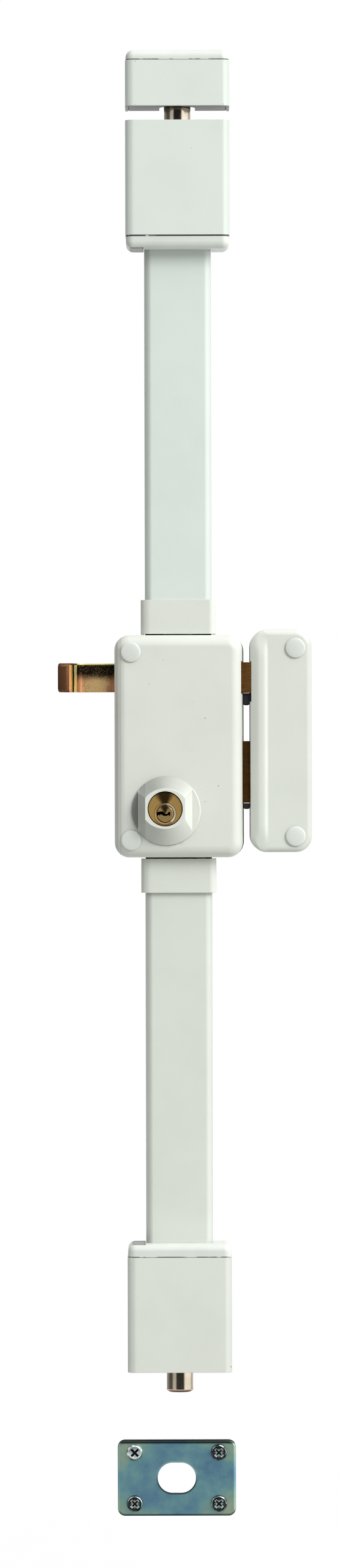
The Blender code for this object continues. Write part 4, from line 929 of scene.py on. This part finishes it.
def on_tab_rim(points):
    """True for the edges across the tab's ends and for the long ones in front of its bend."""
    forward = all(-v.y > 0.033 or (-v.y > 0.028 and v.x < end_x + 0.004) for v in points)
    upright = (points[0] - points[1]).length > 0.005 and points[0].x < tab_edge + 0.0001
    return forward and (runs_along(points, 0) or upright)


round_edges(handle, 0.0028, on_tab_rim, 6)
soften(handle, 0.0003, 50)
lug = add_block("spring_lug_block", (0.010, -bar_front, pull_low.z), (0.014, -bar_back, 0.038))
carve(handle, lug, operation="UNION")
complete(handle, "latch_body", "pull_handle", pull_finish)

# %% Latch bolt
latch_low, latch_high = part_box("latch_bolt")
latch = add_block("brushed_latch", latch_low, latch_high)
edit(latch)
bpy.ops.mesh.select_all(action="SELECT")
bpy.ops.mesh.bisect(
    plane_co=(latch_high.x - 0.012, latch_high.y, latch_low.z), plane_no=(0.0098, 0.012, 0),
    use_fill=True, clear_outer=True,
)
bpy.ops.object.mode_set(mode="OBJECT")
carve(
    latch,
    add_block("pull_slot", (0.018, -0.0233, 0.03), (0.036, -0.0177, 0.06)),
    add_pin("pull_pin_bore", (0.028, 0.046), 0.0028, -0.031, -0.014, vertices=32),
)
soften(latch, 0.0003, 50)
complete(latch, "latch_body", "latch_bolt", bolt_finish)

# %% Deadbolt with its rack, from the CAD's own mesh
deadbolt = fine_copy("deadbolt", "brushed_deadbolt", 0.0002)
complete(deadbolt, "deadbolt_body", "deadbolt", bolt_finish)

# %% [markdown]
# ## Folded covers
# Sleeves, channels, bolt cases and the top keep are all the same idea: a sheet folded to a U that is open
# towards the door. A block loses its back and its ends, its two long front edges are rounded, and the skin
# is thickened inwards. The caps on their ends are moulded with a rounded closed end and a spigot that
# enters the cover.

# %% Folded U covers
fold_radius = 0.005


def folded_cover(name, node, wall, finish):
    low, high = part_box(node)
    piece = add_block(name, low, high)
    round_edges(piece, fold_radius, lambda p: runs_along(p, 2) and same(p, 1, low.y), 10)
    remove_faces(piece, lambda p: same(p, 1, high.y) or same(p, 2, low.z) or same(p, 2, high.z))
    thicken(piece, wall)
    soften(piece, 0.0002, 60)
    complete(piece, "lock_frame", node, finish)


for place, channel_paint, bolt_case_paint in (
    ("upper", channel_coat, upper_coat), ("lower", warm_coat, low_case_coat),
):
    folded_cover(f"{place}_folded_sleeve", f"{place}_sleeve", 0.0025, sleeve_coat)
    folded_cover(f"{place}_folded_channel", f"{place}_channel", 0.0018, channel_paint)
    folded_cover(f"{place}_folded_bolt_case", f"{place}_bolt_case", 0.002, bolt_case_paint)
folded_cover("top_keep_folded_body", "top_keep_body", 0.002, top_keep_coat)


# %% Moulded end caps
spigot_reach, spigot_inset = 0.0043, 0.0022


def moulded_cap(node, side, channel):
    """Cap with a spigot inside the cover. Side is 1 if its closed end is the higher one."""
    low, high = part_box(node)
    if side > 0:
        spigot_end, joint, closed = low.z, low.z + spigot_reach, high.z
    else:
        spigot_end, joint, closed = high.z, high.z - spigot_reach, low.z
    bottom, top = sorted((joint, closed))
    cap = add_block(f"{node}_moulding", (low.x, low.y, bottom), (high.x, high.y, top))
    round_edges(cap, fold_radius, lambda p: runs_along(p, 2) and same(p, 1, low.y), 10)
    end_radius = min(0.0048, (top - bottom) * 0.8)
    round_edges(cap, end_radius, lambda p: same(p, 2, closed) and not same(p, 1, high.y), 8)
    remove_faces(cap, lambda p: same(p, 1, high.y) or same(p, 2, joint))
    thicken(cap, 0.0026)
    bottom, top = sorted((joint + side * 0.002, spigot_end))
    spigot_low = (low.x + spigot_inset, low.y + spigot_inset, bottom)
    spigot = add_block("spigot", spigot_low, (high.x - spigot_inset, high.y, top))
    round_edges(spigot, 0.003, lambda p: runs_along(p, 2) and same(p, 1, low.y + spigot_inset), 6)
    remove_faces(spigot, lambda p: same(p, 1, high.y) or same(p, 2, bottom) or same(p, 2, top))
    thicken(spigot, 0.0012)
    carve(cap, spigot, operation="UNION")
    if channel:
        window_ends = (-0.0229, -0.0204, low.z - 0.002), (0.0229, 0.002, high.z + 0.002)
        carve(cap, add_block("channel_window", *window_ends))
    soften(cap, 0.00015, 60)
    complete(cap, "lock_frame", node, cap_plastic)


moulded_cap("upper_end_cap", -1, True)
moulded_cap("lower_end_cap", 1, True)
moulded_cap("top_keep_cap", 1, False)

# %% [markdown]
# ## Round bolts
# Each round bolt is a length of drawn rod with a rounded tip. Its foot has a flat for the flat rod and a
# bore for the pin that joins the two. The lower one is 1.5 mm longer than its CAD piece, which is nearer to
# the photo.

# %% Round bolts
bolt_radius, tip_round, flat_length = 0.009, 0.002, 0.018


def round_bolt(place, side):
    low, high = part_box(f"{place}_bolt")
    foot, tip = (low.z, high.z) if side > 0 else (high.z, low.z - 0.0015)
    profile = [(bolt_radius, foot)]
    for i in range(9):
        a = 0.5 * math.pi * i / 8
        shrunk, drawn_in = tip_round * (1 - math.cos(a)), tip_round * (1 - math.sin(a))
        profile.append((bolt_radius - shrunk, tip - side * drawn_in))
    rings = [[(x, -0.015 + y, z) for x, y in circle((0, 0), r)] for r, z in profile]
    bolt = loft(f"{place}_round_bolt", rings)
    lap = sorted((foot - side * 0.002, foot + side * flat_length))
    pin_z = foot + side * flat_length / 2
    carve(
        bolt,
        add_block("rod_flat", (-0.012, -0.0083, lap[0]), (0.012, 0, lap[1])),
        add_pin("bolt_pin_bore", (0, pin_z), 0.0023, -0.03, 0, vertices=32),
    )
    complete(bolt, f"{place}_rod_body", f"{place}_bolt", nickel.material)


round_bolt("upper", 1)
round_bolt("lower", -1)

# %% [markdown]
# ## Top keep bracket
# A bent plate whose notch takes the bolt and stays open towards the frame. Its lower face is what the
# camera sees between the bolt and the white body, and its coat is painted dark as the shade there. Two small
# ears close the slits between it and the sides of the body.

# %% Top keep bracket
bracket_low, bracket_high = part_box("top_keep_bracket")
bracket_top = bracket_low.z + 0.0025
bracket = add_block("notched_bracket", bracket_low, (bracket_high.x, bracket_high.y, bracket_top))
round_edges(bracket, 0.003, lambda p: runs_along(p, 2) and same(p, 1, bracket_low.y), 6)
leg = add_block("bracket_leg", (bracket_low.x, -0.0025, bracket_low.z + 0.0003), bracket_high)
carve(bracket, leg, operation="UNION")
body_low, body_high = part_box("top_keep_body")
ear_low = (body_low.x + 0.0021, -0.0022, bracket_low.z + 0.0003)
ears = add_block("bracket_ears", ear_low, (body_high.x - 0.0021, 0, bracket_low.z + 0.010))
carve(bracket, ears, operation="UNION")
notch_radius = 0.012
notch = [(-notch_radius, -0.002)]
for i in range(33):
    a = math.pi * i / 32
    notch.append((-notch_radius * math.cos(a), 0.015 + notch_radius * math.sin(a)))
notch.append((notch_radius, -0.002))
carve(bracket, bar("notch_cutter", notch, bracket_low.z - 0.002, bracket_low.z + 0.0213))
for x in (-0.0222, 0.0222):
    hole_place = (x, bracket_low.z + 0.0179)
    carve(bracket, add_pin("keep_screw_hole", hole_place, 0.0025, -0.006, 0.002, vertices=32))
soften(bracket, 0.0002, 50)
complete(bracket, "lock_frame", "top_keep_bracket", shaded_coat)

# %% [markdown]
# ## Side keep
# Its cover is pressed like the main one, but the edge over the bolts swells to a bead that stands a little
# proud and drops in a crease to the flat face. Rings follow that profile on the left and a plain 4 mm round
# on the other three sides. The corners blend the two, and the bead fades out towards the top and the
# bottom.


# %% Outline of a rounded rectangle
def rounded(left, right, low, high, radii, steps=10):
    """Corners from the lower left round to the upper left, each with its own (x, z) radii."""
    corners = [(left, low, 1, 1), (right, low, -1, 1), (right, high, -1, -1), (left, high, 1, -1)]
    outline = []
    for quarter, ((x, z, sx, sz), (rx, rz)) in enumerate(zip(corners, radii)):
        for i in range(steps + 1):
            a = math.pi * (1 + quarter / 2 + i / steps / 2)
            outline.append((x + sx * rx + rx * math.cos(a), z + sz * rz + rz * math.sin(a)))
    return outline


print("outline of", len(rounded(0, 1, 0, 1, [(0.1, 0.1)] * 4)), "points ready")

# %% Side keep cover
keep_low, keep_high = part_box("side_keep_cover")
keep_wall, keep_depth = 1.6, 29.7
keep_drop, keep_edge, keep_corner = 1.5, 4, 11
bead = [(0, 3.6), (0.4, 3.1), (1, 2.65), (2, 2.0), (3, 1.38), (4, 0.8), (4.7, 0.42), (5.4, 0.17), (6.2, 0.03)]
bead += [(7, 0), (8, 0), (8.8, 0.05), (9.6, 0.2), (10.2, 0.48), (10.8, 0.93), (11.4, 1.36), (11.8, 1.47)]
bead += [(12.2, keep_drop)]


def edge_curve(radius, count):
    """A rounded edge as (inset, how far behind the crest), in as many steps as the bead has."""
    angles = [0.5 * math.pi * i / (count - 1) for i in range(count)]
    return [(radius * (1 - math.cos(a)), keep_drop + radius * (1 - math.sin(a))) for a in angles]


def keep_skin(inset, curve):
    """Rings of the outer skin, or of one that lies inside it by the inset. All sums are in millimetres."""
    rings = []
    corner, radius = keep_corner - inset, keep_edge - inset
    rim = [(0, keep_depth - inset)]
    sides = [1000 * v for v in (keep_low.x, keep_high.x, keep_low.z, keep_high.z)]
    for (left, left_deep), (other, deep) in zip(rim + curve, rim + edge_curve(radius, len(curve))):
        turn_left, turn_other = max(corner - left, 1.4), max(corner - other, 1.4)
        left_corner, right_corner = (turn_left, turn_other), (turn_other, turn_other)
        radii = [left_corner, right_corner, right_corner, left_corner]
        ends = [sides[2] + inset + other, sides[3] - inset - other]
        outline = rounded(sides[0] + inset + left, sides[1] - inset - other, *ends, radii)
        corner_end = inset + other + turn_other
        fades = [corner_end + (19 - corner_end) * i / 7 for i in range(1, 8)]
        outline += [(sides[0] + inset + left, sides[3] - d) for d in fades]
        outline += [(sides[0] + inset + left, sides[2] + d) for d in reversed(fades)]
        ring = []
        for x, z in outline:
            beyond = min(max((x - sides[0] - inset - left) / turn_left, 0), 1)
            share = (1 - beyond) ** 0.6
            near_end = min(max((18 - min(z - sides[2], sides[3] - z)) / 14, 0), 1)
            near_end = near_end * near_end * (3 - 2 * near_end)
            sunk = left_deep + (max(left_deep, keep_drop) - left_deep) * near_end
            behind = inset + sunk * share + deep * (1 - share)
            ring.append((x / 1000, keep_low.y + behind / 1000, z / 1000))
        rings.append(ring)
    return rings


inner_bead = [(x * (12 - keep_wall) / 12, y) for x, y in bead]
keep = loft("keep_cover", keep_skin(keep_wall, inner_bead)[::-1] + keep_skin(0, bead))
mouth = (keep_low.x - 0.002, keep_low.x + 0.006)
carve(
    keep,
    add_block("keep_latch_mouth", (mouth[0], -0.0296, 0.0297), (mouth[1], -0.0149, 0.05685)),
    add_block("keep_deadbolt_mouth", (mouth[0], -0.0276, -0.0415), (mouth[1], -0.0144, 0.004)),
)
for z in keep_cap_z:
    carve(keep, add_pin("keep_counterbore", (keep_cap_x, z), counterbore, -0.035, -0.0285))
complete(keep, "lock_frame", "side_keep_cover", side_keep_coat, 25)

# %% Rest pads and bolt guides, from the CAD's own meshes
for bolt in ("latch", "deadbolt"):
    pad = fine_copy(f"{bolt}_rest_pad", f"{bolt}_black_pad", 0.00025)
    complete(pad, "lock_frame", f"{bolt}_rest_pad", black_plastic)
for place in ("upper", "lower"):
    guide = fine_copy(f"{place}_bolt_guide", f"{place}_steel_guide", 0.0002)
    complete(guide, "lock_frame", f"{place}_bolt_guide", dark_steel)

# %% [markdown]
# ## Floor keep
# A thick zinc-plated plate with an oblong hole for the lower bolt. Its passivation has gone blue and teal,
# with greenish corners. Its top edge has a painted dark reflection and its bottom edge painted shade; the
# upper edge of the hole has a painted highlight and its lower edge painted shade, and four cross-recess
# screws stand in the plate.

# %% Iridescent zinc
plate_low, plate_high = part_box("floor_keep_plate")
plate_middle = (plate_low + plate_high) / 2
slot_half_width, slot_half_height = 0.0128, 0.01025
iris = Finish("iridescent_zinc", {"Metallic": 1.0})
drift = iris.noise(38, 3) * 0.6 + iris.noise(150, 3) * 0.4
hues = [(0.30, (0.11, 0.23, 0.36)), (0.42, (0.16, 0.34, 0.50)), (0.52, (0.23, 0.48, 0.53))]
hues += [(0.62, (0.36, 0.56, 0.46)), (0.74, (0.52, 0.60, 0.46))]
aside = abs(iris.part("X") - plate_middle.x)
above = iris.part("Z") - plate_middle.z
outwards = iris.ramp(aside * 0.7 + abs(above) + iris.noise(60, 2) * 0.01, 0.030, 0.052)
scratch = iris.noise(2600, 3, iris.stretched((1, 1, 0.3)))
film_colour = iris.tone(drift * 0.6 + 0.17 + outwards * 0.2, hues)
body = iris.mix(iris.ramp(scratch, 0.5, 0.75) * 0.3, film_colour, (0.40, 0.50, 0.50))
print("passivation of the floor plate:", len(hues), "hues")

# %% Painted reflection, highlight and shade on the edges of the floor plate and of its hole
# Painted reflection: a dark band along the top edge.
painted_top_edge = iris.ramp(iris.part("Z"), plate_high.z - 0.0034, plate_high.z - 0.0020)
body = iris.mix(painted_top_edge * 0.93, body, (0.015, 0.018, 0.02))
beyond = (aside - (slot_half_width - slot_half_height)).at_least(0.0)
from_hole = (beyond * beyond + abs(above) * abs(above)) ** 0.5 - slot_half_height
# Painted highlight above the hole.
painted_hole_highlight = iris.ramp(from_hole, 0.0018, 0.0004) * iris.ramp(above, -0.001, 0.006)
body = iris.mix(painted_hole_highlight * 0.5, body, (0.50, 0.78, 0.76))
# Painted shade below the hole.
hole_shade = iris.ramp(from_hole, 0.0013, 0.0004) * iris.ramp(above, 0.003, -0.006)
body = iris.mix(hole_shade * 0.9, body, (0.012, 0.014, 0.015))
# Painted shade along the bottom edge.
shaded_low_edge = iris.ramp(iris.part("Z"), plate_low.z + 0.0016, plate_low.z + 0.0006)
body = iris.mix(shaded_low_edge * 0.5, body, (0.05, 0.08, 0.09))
iris.feed(Base_Color=body, Roughness=0.24 + drift * 0.2 + scratch * 0.1)
iris.bump(iris.noise(500, 3) + scratch * 0.3, 0.00004)
print("floor plate finish:", iris.material.name)


# %% Zinc of the screws
def cross_screw(name, colour, edges, centres, band):
    """Zinc with a painted edge tone on the rim of each head and along its cross, whose arms widen by the
    band, and painted shade in its recess: a highlight on dark heads, a dark line on pale ones.
    """
    zinc = Finish(name, {"Metallic": 1.0})
    cloud = zinc.noise(400, 3)
    body = zinc.mix(zinc.ramp(cloud, 0.35, 0.7), colour, darker(colour, 0.6))
    arm_width, arm_reach = 0.001 + band, 0.0046 + band
    for x, z in centres:
        across, along = zinc.part("X") - x, zinc.part("Z") - z
        radius = (across * across + along * along) ** 0.5
        # Painted edge tone on the rim of the head.
        on_rim = zinc.ramp(radius, 0.0045, 0.0047) * zinc.ramp(radius, 0.0053, 0.0051)
        body = zinc.mix(on_rim * zinc.ramp(cloud, 0.35, 0.6) * 0.8, body, edges)
        u, v = abs(across + along), abs(across - along)
        arms = [
            zinc.ramp(aside, arm_width + 0.0001, arm_width) * zinc.ramp(reach, arm_reach + 0.0001, arm_reach)
            for aside, reach in ((u, v), (v, u))
        ]
        product = across * along
        tick = zinc.ramp(product, 0.0000006, 0.0000004) * zinc.ramp(product, -0.0000006, -0.0000004)
        tick = tick * zinc.ramp(radius, 0.0031, 0.0029) * (2400 * band)
        in_cross = arms[0].at_least(arms[1]).at_least(tick * 0.8)
        body = zinc.mix(in_cross, body, edges)
        # Painted shade in the recess.
        in_recess = in_cross * zinc.ramp(zinc.part("Y"), -0.0206, -0.0203)
        body = zinc.mix(in_recess, body, (0.012, 0.03, 0.03))
    zinc.feed(Base_Color=body, Roughness=0.22 + cloud * 0.2)
    zinc.bump(cloud, 0.00003)
    return zinc.material


screw_x, screw_z = 0.0283, 0.01715
screws = [("upper_left", -1, 1), ("upper_right", 1, 1), ("lower_left", -1, -1), ("lower_right", 1, -1)]
screw_places = [(plate_middle.x + sx * screw_x, plate_middle.z + sz * screw_z) for _, sx, sz in screws]
# Edge tones: a painted highlight for the dark screws, dark painted shade for the pale one.
dark_zinc, painted_bright_edges = (0.05, 0.055, 0.06), (0.75, 0.86, 0.84)
pale_zinc, painted_dark_edges = (0.90, 1.0, 1.0), (0.02, 0.03, 0.03)
dark_screw = cross_screw("dark_screw_zinc", dark_zinc, painted_bright_edges, screw_places[1:], 0.00035)
pale_screw = cross_screw("pale_blue_zinc", pale_zinc, painted_dark_edges, screw_places[:1], 0)
print("screw finishes:", dark_screw.name, pale_screw.name)

# %% Floor keep plate
floor_plate = add_block("oblong_hole_plate", plate_low, plate_high)
round_edges(floor_plate, 0.005, lambda p: runs_along(p, 1), 10)
round_edges(floor_plate, 0.0018, lambda p: same(p, 1, plate_low.y), 6)
slot_x = (plate_middle.x - slot_half_width, plate_middle.x + slot_half_width)
slot_z = (plate_middle.z - slot_half_height, plate_middle.z + slot_half_height)
hole = rounded(*slot_x, *slot_z, [(0.00995, 0.00995)] * 4, 16)
carve(floor_plate, slab("bolt_hole_punch", hole, 0.014, 0.021))
for screw_place in screw_places:
    carve(floor_plate, add_pin("screw_punch", screw_place, 0.0024, -0.021, -0.014))
soften(floor_plate, 0.00025, 60)
complete(floor_plate, "lock_frame", "floor_keep_plate", iris.material)


# %% Pan head screws with a cross recess
seat = 0.0193
pan_profile = [(0.0005, 0), (0.0021, 0.0042), (0.0021, seat), (0.0052, seat), (0.0054, seat + 0.0003)]
pan_profile += [(0.0054, seat + 0.0011), (0.0052, seat + 0.0017), (0.0047, seat + 0.0021)]
pan_profile += [(0.0040, seat + 0.0024), (0.0020, seat + 0.0024)]
arm_corners = [(0.0034, 0.0008), (-0.0034, 0.0008), (-0.0034, -0.0008), (0.0034, -0.0008)]


def pan_screw(label, centre, finish):
    """Turned screw whose cross is cut by two bars at 45 degrees. Each bar narrows by half to its bottom."""
    screw = turn(f"{label}_pan_screw", centre, pan_profile, 48)
    for turn_by in (math.radians(45), math.radians(135)):
        along = Vector((math.cos(turn_by), math.sin(turn_by)))
        across = Vector((-along.y, along.x))
        rings = []
        for share, depth in ((0.5, seat + 0.0006), (1, seat + 0.0030)):
            points = [(along * a + across * b) * share for a, b in arm_corners]
            rings.append([(centre[0] + point.x, -depth, centre[1] + point.y) for point in points])
        carve(screw, loft("cross_cutter", rings))
    complete(screw, "lock_frame", f"{label}_floor_screw", finish)


for (label, _, _), screw_place in zip(screws, screw_places):
    pan_screw(label, screw_place, pale_screw if label == "upper_left" else dark_screw)

# %% [markdown]
# ## Latch spring
# The spring stands between its post on the frame and a lug on the pull. Its coils are the CAD's own.

# %% Latch spring, dressed from the CAD's own coils
spring = copy_node("latch_spring", "closing_latch_spring")
bpy.ops.object.mode_set(mode="OBJECT")
dress(spring, "latch_spring", gear_steel)
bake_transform(spring)

# %% [markdown]
# ## Everything inside
# Gears, racks, rods and pins already have the right shape in the CAD, so they keep their meshes and only
# get a finish: zinc on the rods and screws, oiled steel on the train, brass on the plug's gear.

# %% Dress the inner nodes
train = ["reduction_gear", "reduction_arbor", "drive_gear", "central_pinion", "pinion_arbor", "spring_post"]
train += ["upper_rack", "lower_rack"]
plated = ["upper_rod", "lower_rod", "upper_rack_pin", "lower_rack_pin", "upper_bolt_pin", "lower_bolt_pin"]
plated += ["upper_case_screw", "lower_case_screw", "upper_keep_screw", "lower_keep_screw"]
inside = {
    "brass": (gear_brass, ["plug_gear"]),
    "black": (black_plastic, ["upper_rod_guide", "lower_rod_guide"]),
    "oiled": (gear_steel, train),
    "zinc": (zinc_steel, plated),
    "passivated": (bolt_finish, ["latch_pin"]),
}
for label, (finish, names) in inside.items():
    for name in names:
        for material_slot in nodes[name].material_slots:
            material_slot.material = finish
    print(label, len(names), "nodes")

# %% [markdown]
# ## Studio
# One large soft box shines from the upper right. The room is bright above and at the right, dim at the left
# and dark behind the camera, so flat metal stays deep in colour while round metal gets bands, and left
# edges turn darker than right ones. The camera sees plain white, and metal that mirrors like glass sees
# white only straight behind the lock. The floor below the set is pale for the camera. For all other rays it
# is dark with one lit ring, which throws soft light on the undersides.

# %% Camera
camera_data = bpy.data.cameras.new("portrait_lens")
camera_data.lens, camera_data.sensor_width = 139.46, 36
camera = bpy.data.objects.new("portrait_camera", camera_data)
camera.location = (-0.00615, -4.1, -0.0253)
camera.rotation_euler = (math.radians(90), math.radians(0.13), 0)
bpy.context.scene.collection.objects.link(camera)
bpy.context.scene.camera = camera
bpy.context.scene.view_settings.view_transform = "Standard"
print("camera", tuple(camera.location))


# %% Key light
def soft_box(name, place, width, tall, power):
    """Rectangular lamp that faces the middle of the lock."""
    lamp = bpy.data.lights.new(name, "AREA")
    lamp.shape = "RECTANGLE"
    lamp.size, lamp.size_y, lamp.energy = width, tall, power
    holder = bpy.data.objects.new(name, lamp)
    holder.location = place
    holder.rotation_euler = (-holder.location).to_track_quat("-Z", "Y").to_euler()
    bpy.context.scene.collection.objects.link(holder)
    print(name, "power", power)


soft_box("key_soft_box", (2.2, -2.3, 2.0), 1.4, 1.8, 74)

# %% Room
world = bpy.data.worlds.new("studio_room")
bpy.context.scene.world = world
world.use_nodes = True
room = Finish("room", tree=world.node_tree)
heading = room.node("ShaderNodeTexCoord", {}, {}, "Generated")
right, away, up = [room.node("ShaderNodeSeparateXYZ", {}, {0: heading}, axis) for axis in ("X", "Y", "Z")]
rightness = room.ramp(right, -0.5, 0.7)
right_wall = 1.35 * room.ramp(right, 0.5, 0.75)
left_panel = room.ramp(right, -0.46, -0.6) * room.ramp(right, -0.95, -0.84) * room.ramp(away, 0.05, -0.15)
level = 0.02 + right_wall + 0.6 * left_panel + 0.08 * room.ramp(right, -0.8, -0.95)
level = level + room.ramp(up, 0.2, 0.55) * (0.85 + 0.95 * rightness - level)
level = level + room.ramp(up, -0.2, -0.55) * (0.4 + 0.45 * rightness - level)
level = level + room.ramp(away, 0.1, 0.5) * (0.3 + 0.4 * rightness - level)
air = room.mix(level / 2, (0, 0, 0), (2.0, 2.0, 2.0))
mirrored = room.node("ShaderNodeLightPath", {}, {}, "Is Glossy Ray") * room.ramp(away, 0.7, 0.95)
seen = room.node("ShaderNodeLightPath", {}, {}, "Is Camera Ray").at_least(mirrored)
sky = room.mix(seen, air, (1, 1, 1))
backdrop = world.node_tree.nodes["Background"]
world.node_tree.links.new(sky.socket, backdrop.inputs["Color"])
backdrop.inputs["Strength"].default_value = 1
print("room: bright at the right and above, dim at the left, white behind")

# %% Floor
floor_height = -0.6
deselect()
bpy.ops.mesh.primitive_circle_add(vertices=96, radius=1.2, fill_type="NGON", location=(0, 0.1, floor_height))
floor = settle("pale_floor")
floor_paint = Finish("pale_floor_paint", {"Roughness": 0.8})
speckle = floor_paint.noise(30, 3)
glow = floor_paint.node("ShaderNodeEmission", {}, {"Color": (1, 1, 1, 1), "Strength": 1.0})
camera_ray = floor_paint.node("ShaderNodeLightPath", {}, {}, "Is Camera Ray")
pale = floor_paint.mix(speckle, (0.84, 0.84, 0.84), (0.89, 0.89, 0.89))
flat = floor_paint.vector("MULTIPLY", floor_paint.place, (1, 1, 0))
reach = floor_paint.vector("LENGTH", flat, (0, 0, 0), "Value")
lit_ring = floor_paint.ramp(reach, 0.2, 0.4) * floor_paint.ramp(reach, 1.0, 0.75)
bounce = floor_paint.mix(lit_ring, (0.12, 0.125, 0.12), (0.82, 0.84, 0.82))
floor_paint.feed(Base_Color=floor_paint.mix(camera_ray, bounce, pale))
fade = camera_ray * (0.85 + 0.15 * floor_paint.ramp(reach, 0.4, 1.1))
matt = Signal(floor_paint, floor_paint.shader.outputs[0])
blend = floor_paint.node("ShaderNodeMixShader", {}, {0: fade, 1: matt, 2: glow})
floor_output = floor_paint.tree.nodes["Material Output"]
floor_paint.tree.links.new(blend.socket, floor_output.inputs["Surface"])
floor.data.materials.append(floor_paint.material)
print("floor at z =", floor_height)

# %% Clear the selection
deselect()
